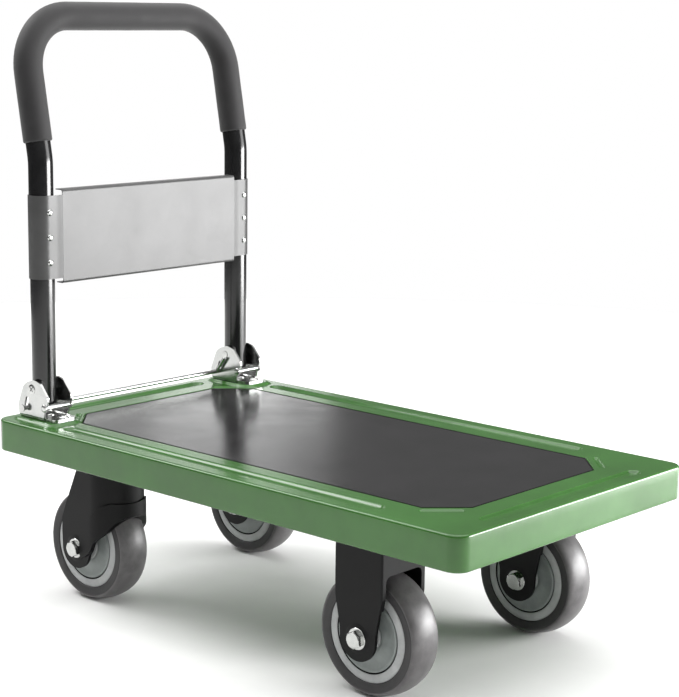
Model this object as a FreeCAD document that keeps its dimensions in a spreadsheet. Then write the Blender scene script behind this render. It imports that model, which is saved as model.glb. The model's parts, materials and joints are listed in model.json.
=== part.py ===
import FreeCAD, Part
import math
import os

import Sketcher

# Folding platform hand truck. +X runs from the handle towards the free end,
# +Y is the left side, +Z is up and z = 0 is the floor under the wheels.
# The rest position has the handle upright and the casters trailing.

doc = FreeCAD.newDocument("platform_truck")
vector = FreeCAD.Vector
along_y = FreeCAD.Rotation(vector(1, 0, 0), -90)
sides = (("left", 1), ("right", -1))

dimensions = {
    # deck
    "deck_mid": 1.6, "deck_length": 790, "deck_width": 440, "deck_top": 236,
    "skirt_height": 42, "deck_corner": 19, "deck_edge": 3, "sheet_wall": 1.6, "lip_width": 13,
    "mat_length": 660, "mat_width": 314, "mat_corner": 40, "mat_wall": 2.9, "mat_gap": 1,
    "mat_edge": 0.8,
    "recess_depth": 3.1, "bead_width": 21, "bead_floor": 13, "bead_depth": 2.6,
    "side_bead_y": 191, "side_bead_rear": -284, "side_bead_front": 262,
    "end_bead_x": 371, "front_bead_reach": 152, "rear_bead_reach": 134,
    "front_corner_x": 315, "front_corner_y": 152, "front_corner_length": 52,
    "rear_corner_x": 324, "rear_corner_y": 137, "rear_corner_length": 38, "corner_bead_width": 8,
    "pad_rise": 3.5, "pad_mid_x": -338, "pad_length": 80, "pad_mid_y": 178, "pad_width": 46,
    "pad_slope": 3,
    # underframe
    "beam_width": 30, "beam_height": 35, "beam_wall": 2, "beam_length": 430, "beam_pitch": 80,
    "rail_width": 25, "rail_height": 25, "rail_pitch": 170, "underside": 231.2,
    # hinge brackets and their fittings
    "hinge_x": -345, "hinge_z": 279, "hinge_y": 176, "cheek_span": 42, "cheek_wall": 3,
    "base_top": 243.5, "slot_x": -13.5, "slot_z": -26.5, "slot_travel": 13, "slot_width": 6.6,
    "slot_lean": 15.6, "stop_x": 25.5, "stop_z": -22, "stop_bar": 3, "stop_head": 5,
    "pin_shaft": 4, "pin_head": 6.5, "pin_head_wall": 2,
    "pin_clear": 0.1, "hole_clear": 0.2, "bracket_bolt": 4, "bracket_bolt_length": 17,
    "bracket_bolt_dome": 3.6, "nut_across": 13, "nut_rise": 6.4,
    "bracket_bolt_a": -336, "bracket_bolt_b": -308,
    "base_rear": -29, "base_front": 44,
    # handle
    "tube_radius": 16, "tube_wall": 1.8, "heel_drop": 20, "kink_z": 578, "kink_radius": 90,
    "lean_angle": 10.6, "lean_length": 187, "bend_radius": 74,
    "grip_radius": 18.8, "grip_start": 24, "bush_radius": 7, "fit_gap": 0.05,
    "notch_gap": 0.6, "cheek_gap": 0.4,
    "panel_wall": 1.2, "panel_mid_z": 479.2, "panel_height": 123.4, "flange_height": 109,
    "panel_half_width": 152, "panel_step": 3, "panel_return": 14, "panel_wrap": 150,
    "sleeve_gap": 0.02, "panel_gap": 0.1, "rivet_pitch": 32.7, "rivet_radius": 4.4, "rivet_rise": 2,
    # release rod
    "rod_radius": 3, "rod_overhang": 5, "arm_radius": 2.4, "arm_inset": 4.2,
    "arm_run": 15.5, "arm_rise": 20.5, "cap_radius": 4.8, "cap_wall": 1.4,
    # wheels
    "wheel_radius": 75, "wheel_width": 46, "shoulder_radius": 67, "crown_radius": 37.0625,
    "rim_radius": 57.3, "rim_inner": 46, "rim_width": 43, "web_width": 15, "boss_radius": 19,
    "cap_disc": 44.3, "cap_disc_wall": 2.4, "cap_dish": 4, "bearing_radius": 12,
    "axle_radius": 6, "hex_across": 19, "hex_rise": 7, "washer_radius": 13, "washer_wall": 1.6,
    # casters
    "plate_top": 196, "plate_wall": 4, "plate_length": 106, "plate_width": 92,
    "plate_bolt_x": 44, "plate_bolt_y": 37, "plate_bolt": 4, "plate_bolt_length": 20,
    "bolt_head_rise": 5.3,
    "rigid_x": 225, "rigid_y": 150, "swivel_x": -244, "swivel_y": 145, "trail": 30,
    "rigid_leg": 38, "swivel_leg": 40, "leg_wall": 4, "leg_width": 72, "leg_foot": 27,
    "leg_taper_z": 128, "arch_z": 153.5, "arch_corner": 9, "web_wall": 3,
    "head_radius": 41, "head_top": 184, "head_wall": 5, "race_radius": 33, "race_gap": 0.4,
    "king_radius": 6, "king_head": 10, "king_head_rise": 6, "king_nut_rise": 7,
    "swivel_rear": -26, "hood_low": 84, "hub_gap": 0.4, "bearing_proud": 0.8,
}


def fill_sheet():
    sheet = doc.addObject("Spreadsheet::Sheet", "dims")
    for row, (alias, value) in enumerate(dimensions.items(), start=1):
        cell = "A%d" % row
        sheet.set(cell, str(value))
        sheet.setAlias(cell, alias)
    doc.recompute()
    return sheet


sheet = fill_sheet()


def size(alias):
    return float(sheet.get(alias))


def number(owner, text):
    return float(owner.evalExpression(text))


def place(piece, x, y, z):
    for axis, text in zip("xyz", (x, y, z)):
        piece.setExpression(".Placement.Base." + axis, text)


# ---- sketch helpers ----

def new_body(name):
    body = doc.addObject("PartDesign::Body", name)
    body.Label = name
    return body


def new_sketch(body, role, offset="0"):
    sketch = body.newObject("Sketcher::SketchObject", body.Name + "_sketch")
    plane = next(item for item in body.Origin.OriginFeatures if item.Role == role)
    sketch.AttachmentSupport = [(plane, "")]
    sketch.MapMode = "FlatFace"
    sketch.setExpression("AttachmentOffset.Base.z", offset)
    return sketch


def hold(sketch, limits):
    """Add constraints in one step. Each is (constraint, expression), or (constraint, None)."""
    indices = sketch.addConstraint([limit for limit, _ in limits])
    for index, (_, text) in zip(indices, limits):
        if text is not None:
            sketch.setExpression("Constraints[%d]" % index, text)


def at(sketch, geometry, corner, axis, spot):
    """Limit that keeps one coordinate of a point (axis 0 is x, 1 is y) at its expression."""
    kind = ("DistanceX", "DistanceY")[axis]
    text = spot[axis]
    return Sketcher.Constraint(kind, -1, 1, geometry, corner, number(sketch, text)), text


def short_arc(start, end, centre):
    """Arc the shorter way round between two points, drawn counter-clockwise."""
    outward = ((start + end) * 0.5 - centre).normalize()
    middle = centre + outward * start.distanceToPoint(centre)
    if (start - centre).cross(end - centre).z > 0:
        return Part.Arc(start, middle, end)
    return Part.Arc(end, middle, start)


def outline(sketch, points, centres=None):
    """Closed outline through points given as expressions. The edge that leaves point i
    is an arc about centres[i], or straight if that has no entry."""
    centres = centres or {}
    corners = [vector(number(sketch, x), number(sketch, y), 0) for x, y in points]
    count = len(points)
    ends = []
    for i, start in enumerate(corners):
        end = corners[(i + 1) % count]
        if i in centres:
            x, y = centres[i]
            edge = short_arc(start, end, vector(number(sketch, x), number(sketch, y), 0))
        else:
            edge = Part.LineSegment(start, end)
        sketch.addGeometry(edge, False)
        forward = sketch.Geometry[i].StartPoint.distanceToPoint(start) < 1e-6
        ends.append((1, 2) if forward else (2, 1))
    limits = []
    for i, spot in enumerate(points):
        after = (i + 1) % count
        joined = Sketcher.Constraint("Coincident", i, ends[i][1], after, ends[after][0])
        limits.append((joined, None))
        limits += [at(sketch, i, ends[i][0], axis, spot) for axis in (0, 1)]
        if i in centres:
            chord = corners[after] - corners[i]
            limits.append(at(sketch, i, 3, int(abs(chord.y) < abs(chord.x)), centres[i]))
    hold(sketch, limits)


def rectangle(sketch, x_low, x_high, y_low, y_high):
    outline(sketch, [(x_low, y_low), (x_high, y_low), (x_high, y_high), (x_low, y_high)])


def circle(sketch, x, y, radius):
    centre = vector(number(sketch, x), number(sketch, y), 0)
    ring = Part.Circle(centre, vector(0, 0, 1), number(sketch, radius))
    index = sketch.addGeometry(ring, False)
    wide = Sketcher.Constraint("Radius", index, number(sketch, radius))
    hold(sketch, [at(sketch, index, 3, 0, (x, y)), at(sketch, index, 3, 1, (x, y)), (wide, radius)])


def pad(body, sketch, length, reverse=False):
    feature = body.newObject("PartDesign::Pad", body.Name + "_pad")
    feature.Profile = sketch
    feature.setExpression("Length", length)
    feature.Reversed = reverse
    doc.recompute()
    return feature


def bore(body, sketch, depth):
    """Cut the sketch both ways by half of depth and make sure it removed something."""
    before = body.Shape.Volume
    feature = body.newObject("PartDesign::Pocket", body.Name + "_bore")
    feature.Profile = sketch
    feature.setExpression("Length", depth)
    feature.Midplane = True
    doc.recompute()
    if body.Shape.Volume >= before - 0.01:
        raise RuntimeError(body.Name + ": a bore removed nothing")
    return feature


def turned(name, points, centres=None):
    """Ring turned about Y from an outline of (radius, distance along Y)."""
    body = new_body(name)
    sketch = new_sketch(body, "XY_Plane")
    outline(sketch, points, centres)
    spin = body.newObject("PartDesign::Revolution", name + "_turn")
    spin.Profile = sketch
    spin.ReferenceAxis = (sketch, ["V_Axis"])
    spin.Angle = 360
    doc.recompute()
    return body


# ---- primitive helpers ----

def rod_y(name, radius, length, x, y, z):
    """Cylinder along Y that starts at y."""
    piece = doc.addObject("Part::Cylinder", name)
    piece.setExpression("Radius", radius)
    piece.setExpression("Height", length)
    piece.Placement.Rotation = along_y
    place(piece, x, y, z)
    return piece


def rod_z(name, radius, length, x, y, z):
    piece = doc.addObject("Part::Cylinder", name)
    piece.setExpression("Radius", radius)
    piece.setExpression("Height", length)
    place(piece, x, y, z)
    return piece


def hexagon(name, across, rise, x, y, z, upright):
    piece = doc.addObject("Part::Prism", name)
    piece.Polygon = 6
    piece.setExpression("Circumradius", "(%s) / sqrt(3)" % across)
    piece.setExpression("Height", rise)
    if not upright:
        piece.Placement.Rotation = along_y
    place(piece, x, y, z)
    return piece


def box(name, lengths, corner):
    piece = doc.addObject("Part::Box", name)
    for axis, text in zip(("Length", "Width", "Height"), lengths):
        piece.setExpression(axis, text)
    place(piece, *corner)
    return piece


def fuse(name, pieces):
    joined = doc.addObject("Part::MultiFuse", name)
    joined.Shapes = pieces
    joined.Label = name
    return joined


def cut(name, base, tool):
    result = doc.addObject("Part::Cut", name)
    result.Base = base
    result.Tool = tool
    result.Label = name
    return result


def shaped(name, shape):
    """Piece whose shape comes from Part's own functions, with sizes read from the sheet."""
    piece = doc.addObject("Part::Feature", name)
    piece.Shape = shape
    piece.Placement = FreeCAD.Placement()
    piece.Label = name
    return piece


nodes = []


def keep(piece):
    nodes.append(piece)
    return piece


# ---- deck ----

def rounded_block(length, width, corner, z_low, z_high):
    block = Part.makeBox(length, width, z_high - z_low,
                         vector(size("deck_mid") - length / 2, -width / 2, z_low))
    upright = [edge for edge in block.Edges
               if abs(edge.Vertexes[0].Z - edge.Vertexes[1].Z) > 1]
    return block.makeFillet(corner, upright)


def soften_top(block, z_high, radius):
    edges = [edge for edge in block.Edges
             if all(abs(vertex.Z - z_high) < 1e-6 for vertex in edge.Vertexes)]
    return block.makeFillet(radius, edges)


def octagon_wire(length, width, corner, z):
    x, y = length / 2, width / 2
    points = [(x, y - corner), (x - corner, y), (corner - x, y), (-x, y - corner),
              (-x, corner - y), (corner - x, -y), (x - corner, -y), (x, corner - y)]
    ring = [vector(size("deck_mid") + px, py, z) for px, py in points]
    return Part.makePolygon(ring + ring[:1])


def octagon_block(grow, z_low, z_high):
    turned_corner = size("mat_corner") + grow * (2 - math.sqrt(2))
    wire = octagon_wire(size("mat_length") + 2 * grow, size("mat_width") + 2 * grow,
                        turned_corner, z_low)
    return Part.Face(wire).extrude(vector(0, 0, z_high - z_low))


def stadium_wire(length, width, z):
    """Slot outline along X, centred on the Z axis, with round ends."""
    radius = width / 2
    reach = length / 2 - radius
    right, left = vector(reach, 0, z), vector(-reach, 0, z)
    up, out = vector(0, radius, 0), vector(radius, 0, 0)
    return Part.Wire([
        Part.LineSegment(left + up, right + up).toShape(),
        Part.Arc(right + up, right + out, right - up).toShape(),
        Part.LineSegment(right - up, left - up).toShape(),
        Part.Arc(left - up, left - out, left + up).toShape()])


def bead(length, width, floor, depth, top, where, angle):
    """Sunk bead with sloping sides, as the solid that is pressed down from top."""
    upper = stadium_wire(length, width, top)
    lower = stadium_wire(length - (width - floor), floor, top - depth)
    solid = Part.makeLoft([upper, lower], True, True)
    solid.Placement = FreeCAD.Placement(vector(size("deck_mid") + where[0], where[1], 0),
                                        FreeCAD.Rotation(vector(0, 0, 1), angle))
    return solid


def deck_beads(grow, top):
    width, floor = size("bead_width"), size("bead_floor")
    depth = size("bead_depth")
    rear, front = size("side_bead_rear"), size("side_bead_front")
    beads = []
    for sign in (1, -1):
        middle = ((rear + front) / 2, sign * size("side_bead_y"))
        beads.append((front - rear, width, floor, middle, 0))
    for x, reach in ((size("end_bead_x"), size("front_bead_reach")),
                     (-size("end_bead_x"), size("rear_bead_reach"))):
        beads.append((2 * reach, width, floor, (x, 0), 90))
    slim = size("corner_bead_width")
    for end, sx in (("front", 1), ("rear", -1)):
        for _, sy in sides:
            middle = (sx * size(end + "_corner_x"), sy * size(end + "_corner_y"))
            beads.append((size(end + "_corner_length"), slim, slim / 2, middle, -45 * sx * sy))
    return [bead(length + 2 * grow, wide + 2 * grow, low + 2 * grow, depth, top, middle, angle)
            for length, wide, low, middle, angle in beads]


def bracket_pad(sign, grow, z_low, z_high):
    """Raised pad under a hinge bracket, with sloping sides."""
    slope = size("pad_slope")
    sections = []
    for z, spread in ((z_low, slope + grow), (z_high, grow)):
        length = size("pad_length") + 2 * spread
        width = size("pad_width") + 2 * spread
        corner = vector(size("deck_mid") + size("pad_mid_x") - length / 2,
                        sign * size("pad_mid_y") - width / 2, z)
        face = Part.makePlane(length, width, corner)
        sections.append(face.OuterWire)
    return Part.makeLoft(sections, True, True)


def deck_pan():
    wall, top = size("sheet_wall"), size("deck_top")
    length, width = size("deck_length"), size("deck_width")
    corner, edge, rise = size("deck_corner"), size("deck_edge"), size("pad_rise")
    low = top - size("skirt_height")
    recess_floor = top - size("recess_depth")
    outer = soften_top(rounded_block(length, width, corner, low, top), top, edge)
    for _, sign in sides:
        outer = outer.fuse(bracket_pad(sign, 0, top - wall, top + rise))
    outer = outer.cut(octagon_block(size("mat_gap"), recess_floor, top + 1))
    for groove in deck_beads(0, top):
        outer = outer.cut(groove)
    inner = soften_top(rounded_block(length - 2 * wall, width - 2 * wall, corner - wall,
                                     low + wall, top - wall), top - wall, edge - wall)
    for _, sign in sides:
        inner = inner.fuse(bracket_pad(sign, -wall, top - 2 * wall, top + rise - wall))
    inner = inner.cut(octagon_block(size("mat_gap") + wall, recess_floor - wall, top))
    for groove in deck_beads(wall, top - wall):
        inner = inner.cut(groove)
    lip = size("lip_width")
    mouth = rounded_block(length - 2 * lip, width - 2 * lip, corner / 2, low - 1, low + 2 * wall)
    pan = outer.cut(inner).cut(mouth)
    for _, sign in sides:
        for x in ("bracket_bolt_a", "bracket_bolt_b"):
            spot = vector(size("deck_mid") + size(x), sign * size("hinge_y"), low)
            hole = Part.makeCylinder(size("bracket_bolt") + size("hole_clear"), 2 * (top - low), spot)
            pan = pan.cut(hole)
    return keep(shaped("deck_pan", pan.removeSplitter()))


def load_mat():
    top = size("recess_depth")
    low = size("deck_top") - top
    mat = octagon_block(0, low, low + size("mat_wall"))
    upper = [edge for edge in mat.Edges
             if all(abs(vertex.Z - low - size("mat_wall")) < 1e-6 for vertex in edge.Vertexes)]
    return keep(shaped("load_mat", mat.makeFillet(size("mat_edge"), upper)))


def beam(name, lengths, corner, hollow_axis, holes=()):
    """Square tube: a box with its hollow running through along one axis, and bolt holes
    in its lower wall."""
    solid = box(name + "_outside", lengths, corner)
    inner, start = [], []
    for axis, (length, low) in enumerate(zip(lengths, corner)):
        grow = "2" if axis == hollow_axis else "-2 * dims.beam_wall"
        shift = "- 1" if axis == hollow_axis else "+ dims.beam_wall"
        inner.append("(%s) + (%s)" % (length, grow))
        start.append("(%s) %s" % (low, shift))
    tools = [box(name + "_inside", inner, start)]
    for index, (x, y) in enumerate(holes):
        tools.append(rod_z("%s_hole_%d" % (name, index), "dims.plate_bolt + dims.hole_clear",
                           "2 * dims.beam_wall", x, y, corner[2] + " - 1"))
    tool = fuse(name + "_tools", tools) if holes else tools[0]
    return keep(cut(name, solid, tool))


def underframe():
    for row, caster in (("front", "rigid"), ("rear", "swivel")):
        for tag, sign in (("a", "-"), ("b", "+")):
            mid = "dims.deck_mid + dims.%s_x %s " % (caster, sign)
            holes = [(mid + "dims.plate_bolt_x", "%d * dims.%s_y %s dims.plate_bolt_y" % (s, caster, t))
                     for _, s in sides for t in "+-"]
            beam("cross_beam_%s_%s" % (row, tag),
                 ("dims.beam_width", "dims.beam_length", "dims.beam_height"),
                 (mid + "dims.beam_pitch / 2 - dims.beam_width / 2", "-dims.beam_length / 2",
                  "dims.plate_top"), 1, holes)
    start = "dims.swivel_x + dims.beam_pitch / 2 + dims.beam_width / 2"
    length = "dims.rigid_x - dims.beam_pitch / 2 - dims.beam_width / 2 - (%s)" % start
    for side, sign in sides:
        beam("rail_" + side, (length, "dims.rail_width", "dims.rail_height"),
             ("dims.deck_mid + " + start,
              "%d * dims.rail_pitch / 2 - dims.rail_width / 2" % sign,
              "dims.underside - dims.rail_height"), 0)


# ---- hinge brackets ----

def slot_outline(sketch, radius):
    """Leaning slot with round ends, from the rod's rest place up its travel."""
    run, rise = "sin(dims.slot_lean * 1deg)", "cos(dims.slot_lean * 1deg)"
    low = ("dims.slot_x", "dims.slot_z")
    high = ("dims.slot_x + dims.slot_travel * " + run, "dims.slot_z + dims.slot_travel * " + rise)

    def beside(spot, along, across):
        """Point a radius away from spot, up the slot (along) or to its right (across)."""
        return ("%s + %s * (%d * %s + %d * %s)" % (spot[0], radius, along, run, across, rise),
                "%s + %s * (%d * %s - %d * %s)" % (spot[1], radius, along, rise, across, run))

    outline(sketch,
            [beside(low, 0, -1), beside(low, -1, 0), beside(low, 0, 1),
             beside(high, 0, 1), beside(high, 1, 0), beside(high, 0, -1)],
            {0: low, 1: low, 3: high, 4: high})


# The cheek's edge above its foot, from front to rear, as x and z from the hinge axis.
cheek_edge = [("26", "-27"), ("32", "-14"), ("32", "-7"), ("17", "10"), ("4", "13"),
              ("-9", "9"), ("-18", "3"), ("-29", "-23"), ("-28", "-35")]


def hinge_bracket(side, sign):
    """U-shaped bracket: a base on the deck and two cheeks with the rod's slots.
    Its own origin is the hinge axis."""
    body = new_body("hinge_bracket_" + side)
    base = "dims.deck_top + dims.pad_rise - dims.hinge_z"
    sheet_base = new_sketch(body, "XY_Plane", base)
    rectangle(sheet_base, "dims.base_rear", "dims.base_front",
              "-dims.cheek_span / 2", "dims.cheek_span / 2")
    pad(body, sheet_base, "dims.base_top - dims.deck_top - dims.pad_rise")
    for offset in ("dims.cheek_span / 2 - dims.cheek_wall", "-dims.cheek_span / 2"):
        cheek = new_sketch(body, "XZ_Plane", offset)
        outline(cheek, [("-24", base), ("23", base)] + cheek_edge)
        pad(body, cheek, "dims.cheek_wall")
    slot = new_sketch(body, "XZ_Plane")
    slot_outline(slot, "dims.slot_width / 2")
    bore(body, slot, "2 * dims.cheek_span")
    holes = new_sketch(body, "XZ_Plane")
    circle(holes, "0", "0", "dims.pin_shaft + dims.pin_clear")
    circle(holes, "dims.stop_x", "dims.stop_z", "dims.stop_bar + dims.pin_clear")
    bore(body, holes, "2 * dims.cheek_span")
    bolts = new_sketch(body, "XY_Plane", base)
    for x in ("dims.bracket_bolt_a", "dims.bracket_bolt_b"):
        circle(bolts, x + " - dims.hinge_x", "0", "dims.bracket_bolt + dims.hole_clear")
    bore(body, bolts, "dims.cheek_span")
    place(body, "dims.deck_mid + dims.hinge_x", "%d * dims.hinge_y" % sign, "dims.hinge_z")
    return keep(body)


def headed_bar(name, radius, head, x, z, sign):
    """Bar across a bracket with a round head outside each cheek."""
    wall = "dims.pin_head_wall"
    span = "dims.cheek_span"
    mid = "%d * dims.hinge_y" % sign
    shaft = rod_y(name + "_shaft", radius, "%s + 2 * %s" % (span, wall), x,
                  "%s - %s / 2 - %s" % (mid, span, wall), z)
    heads = [rod_y(name + "_head_a", head, wall, x, "%s + %s / 2" % (mid, span), z),
             rod_y(name + "_head_b", head, wall, x, "%s - %s / 2 - %s" % (mid, span, wall), z)]
    return keep(fuse(name, [shaft] + heads))


def pivot_pin(side, sign):
    """Pivot pin: a full head outside, and a thin one inside that clears the rod's arm."""
    name = "pivot_pin_" + side
    x, z = "dims.deck_mid + dims.hinge_x", "dims.hinge_z"
    thin, wall = "dims.pin_head_wall / 2", "dims.pin_head_wall"
    reach = {1: ("- dims.cheek_span / 2 - " + thin, thin, "+ dims.cheek_span / 2", wall),
             -1: ("- dims.cheek_span / 2 - " + wall, wall, "+ dims.cheek_span / 2", thin)}[sign]
    mid = "%d * dims.hinge_y " % sign
    shaft = rod_y(name + "_shaft", "dims.pin_shaft",
                  "dims.cheek_span + %s + %s" % (reach[1], reach[3]), x, mid + reach[0], z)
    low = rod_y(name + "_low", "dims.pin_head", reach[1], x, mid + reach[0], z)
    high = rod_y(name + "_high", "dims.pin_head", reach[3], x, mid + reach[2], z)
    return keep(fuse(name, [shaft, low, high]))


def bracket_bolts(side, sign):
    """Two round-headed bolts through the base and the deck, with nuts below."""
    name = "bracket_bolts_" + side
    pieces = []
    y = "%d * dims.hinge_y" % sign
    for tag in ("a", "b"):
        x = "dims.deck_mid + dims.bracket_bolt_" + tag
        pieces.append(rod_z(name + "_shank_" + tag, "dims.bracket_bolt",
                            "dims.bracket_bolt_length", x, y,
                            "dims.base_top + 0.5 - dims.bracket_bolt_length"))
        head = doc.addObject("Part::Cone", name + "_head_" + tag)
        head.setExpression("Radius1", "2 * dims.bracket_bolt")
        head.setExpression("Radius2", "1.1 * dims.bracket_bolt")
        head.setExpression("Height", "dims.bracket_bolt_dome")
        place(head, x, y, "dims.base_top")
        pieces.append(head)
        under = "dims.deck_top + dims.pad_rise - dims.sheet_wall - dims.nut_rise"
        pieces.append(hexagon(name + "_nut_" + tag, "dims.nut_across", "dims.nut_rise", x, y,
                              under, True))
    return keep(fuse(name, pieces))


# ---- handle ----

def handle_path(start_side):
    """Centre line of the handle tube from one heel, over the top, to the other."""
    x, y = size("deck_mid") + size("hinge_x"), size("hinge_y")
    lean = math.radians(size("lean_angle"))
    direction = vector(-math.sin(lean), 0, math.cos(lean))
    kink = vector(x, 0, size("kink_z"))
    tangent = size("kink_radius") * math.tan(lean / 2)
    heel = vector(x, 0, size("hinge_z") - size("heel_drop"))
    low, high = kink - vector(0, 0, tangent), kink + direction * tangent
    bow = (low + high) * 0.5
    pull = (kink - bow).normalize() * (size("kink_radius") * (1 - math.cos(lean / 2)))
    middle = bow + pull
    bend = size("bend_radius")
    crown = kink + direction * size("lean_length")
    shoulder = crown - direction * bend
    corner = bend * (1 - math.cos(math.pi / 4))
    return {"heel": heel, "low": low, "middle": middle, "high": high, "shoulder": shoulder,
            "crown": crown, "direction": direction, "bend": bend, "corner": corner,
            "across": vector(0, start_side * y, 0)}


def handle_wire(start):
    """Wire along the handle; start is the point on each side where it begins."""
    sweeps = {}
    for sign in (1, -1):
        path = handle_path(sign)
        out = path["across"]
        inward = vector(0, -sign, 0)
        bend_top = path["crown"] + out + inward * path["bend"]
        bend_middle = (path["shoulder"] + out + inward * path["corner"]
                       + path["direction"] * (path["bend"] - path["corner"]))
        legs = []
        if start == "heel":
            legs.append(Part.LineSegment(path["heel"] + out, path["low"] + out).toShape())
            legs.append(Part.Arc(path["low"] + out, path["middle"] + out,
                                 path["high"] + out).toShape())
            begin = path["high"]
        else:
            kink = path["crown"] - path["direction"] * size("lean_length")
            begin = kink + path["direction"] * size("grip_start")
        legs.append(Part.LineSegment(begin + out, path["shoulder"] + out).toShape())
        legs.append(Part.Arc(path["shoulder"] + out, bend_middle, bend_top).toShape())
        sweeps[sign] = (legs, bend_top, begin + out if start != "heel" else path["heel"] + out)
        first_direction = vector(0, 0, 1) if start == "heel" else path["direction"]
    bar = Part.LineSegment(sweeps[1][1], sweeps[-1][1]).toShape()
    edges = sweeps[1][0] + [bar] + sweeps[-1][0][::-1]
    return Part.Wire(Part.__sortEdges__(edges)), sweeps[1][2], first_direction


def pipe(start, radius):
    wire, begin, direction = handle_wire(start)
    ring = Part.Wire([Part.Circle(begin, direction, radius).toShape()])
    return wire.makePipeShell([ring], True, True)


def handle_tube():
    outside = pipe("heel", size("tube_radius"))
    tube = outside.cut(pipe("heel", size("tube_radius") - size("tube_wall")))
    x, y, z = size("deck_mid") + size("hinge_x"), size("hinge_y"), size("hinge_z")
    lean = math.radians(size("slot_lean"))
    reach = vector(math.sin(lean), 0, math.cos(lean)) * size("slot_travel")
    notch_radius = size("rod_radius") + size("notch_gap")
    cutter = 3 * size("tube_radius")
    for _, sign in sides:
        start = vector(x, sign * y, z)
        tube = tube.cut(Part.makeCylinder(size("bush_radius"), cutter,
                                          start - vector(0, cutter / 2, 0), vector(0, 1, 0)))
        rest = start + vector(size("slot_x"), -cutter / 2, size("slot_z"))
        side_step = vector(math.cos(lean), 0, -math.sin(lean)) * notch_radius
        strip = Part.makePolygon([rest - side_step, rest + side_step, rest + side_step + reach,
                                  rest - side_step + reach, rest - side_step])
        notch = Part.Face(strip).extrude(vector(0, cutter, 0))
        notch = notch.fuse(Part.makeCylinder(notch_radius, cutter, rest + reach, vector(0, 1, 0)))
        tube = tube.cut(notch)
    return keep(shaped("handle_tube", tube))


def grip_sleeve():
    bore_radius = size("tube_radius") + size("sleeve_gap")
    sleeve = pipe("grip", size("grip_radius")).cut(pipe("grip", bore_radius))
    return keep(shaped("grip_sleeve", sleeve))


def pivot_bush(side, sign):
    name = "pivot_bush_" + side
    length = "dims.cheek_span - 2 * dims.cheek_wall - 2 * dims.cheek_gap"
    x, z = "dims.deck_mid + dims.hinge_x", "dims.hinge_z"
    y = "%d * dims.hinge_y - (%s) / 2" % (sign, length)
    outside = rod_y(name + "_outside", "dims.bush_radius", length, x, y, z)
    inside = rod_y(name + "_inside", "dims.pin_shaft + dims.fit_gap", "(%s) + 2" % length,
                   x, y + " - 1", z)
    return keep(cut(name, outside, inside))


def wrap_shell(sign, radius, wall, height, centre):
    """Part of a tube wall that wraps from the front round the outer side."""
    shell = Part.makeCylinder(radius + wall, height, centre)
    shell = shell.cut(Part.makeCylinder(radius, height, centre))
    sweep = size("panel_wrap")
    start = 0 if sign > 0 else -sweep
    sector = Part.makeCylinder(radius + 10, height, centre, vector(0, 0, 1), sweep)
    sector.rotate(centre, vector(0, 0, 1), start)
    return shell.common(sector)


def back_panel():
    """Sheet panel: a raised middle with folded top and bottom edges, a flat strip each
    side, and a wrap round each upright."""
    wall, mid = size("panel_wall"), size("panel_mid_z")
    tall, short = size("panel_height"), size("flange_height")
    half, step = size("panel_half_width"), size("panel_step")
    radius = size("tube_radius") + size("panel_gap")
    axis_x = size("deck_mid") + size("hinge_x")
    face_x = axis_x + radius
    front = Part.makeBox(wall, 2 * half, tall, vector(face_x + step, -half, mid - tall / 2))
    panel = front
    for z in (mid - tall / 2, mid + tall / 2 - wall):
        fold = Part.makeBox(size("panel_return"), 2 * half, wall,
                            vector(face_x + step + wall - size("panel_return"), -half, z))
        panel = panel.fuse(fold)
    for _, sign in sides:
        inner, outer = sorted((sign * half, sign * (half - wall)))
        panel = panel.fuse(Part.makeBox(step + wall, outer - inner, short,
                                        vector(face_x, inner, mid - short / 2)))
        low, high = sorted((sign * (half - wall), sign * size("hinge_y")))
        panel = panel.fuse(Part.makeBox(wall, high - low, short,
                                        vector(face_x, low, mid - short / 2)))
        centre = vector(axis_x, sign * size("hinge_y"), mid - short / 2)
        panel = panel.fuse(wrap_shell(sign, radius, wall, short, centre))
    return keep(shaped("back_panel", panel.removeSplitter()))


def panel_rivets():
    """Domed rivets, three down the front of each upright."""
    face = size("deck_mid") + size("hinge_x") + size("tube_radius") + size("panel_gap")
    face += size("panel_wall")
    rise, radius = size("rivet_rise"), size("rivet_radius")
    ball = (radius ** 2 + rise ** 2) / (2 * rise)
    heads = []
    for _, sign in sides:
        for row in (-1, 0, 1):
            spot = vector(face, sign * size("hinge_y"),
                          size("panel_mid_z") + row * size("rivet_pitch"))
            dome = Part.makeSphere(ball, spot - vector(ball - rise, 0, 0))
            cap = dome.common(Part.makeCylinder(radius, rise, spot, vector(1, 0, 0)))
            heads.append(cap)
    return keep(shaped("panel_rivets", Part.makeCompound(heads)))


# ---- release rod ----

def release_rod():
    """Rod through the slots of all four cheeks, with a bent arm inside each bracket."""
    x = size("deck_mid") + size("hinge_x") + size("slot_x")
    z = size("hinge_z") + size("slot_z")
    half = size("hinge_y") + size("cheek_span") / 2 + size("rod_overhang")
    rod = Part.makeCylinder(size("rod_radius"), 2 * half, vector(x, -half, z), vector(0, 1, 0))
    arm = size("arm_radius")
    for _, sign in sides:
        y = sign * (size("hinge_y") - size("cheek_span") / 2 - size("arm_inset"))
        start = vector(x, y, z)
        run = vector(size("arm_run"), 0, size("arm_rise"))
        rod = rod.fuse(Part.makeCylinder(arm, run.Length, start, run))
        rod = rod.fuse(Part.makeSphere(arm, start + run))
        rod = rod.fuse(Part.makeCylinder(arm, 2 * arm, start + run - vector(0, sign * 2 * arm, 0),
                                         vector(0, sign, 0)))
    return keep(shaped("release_rod", rod))


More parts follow.
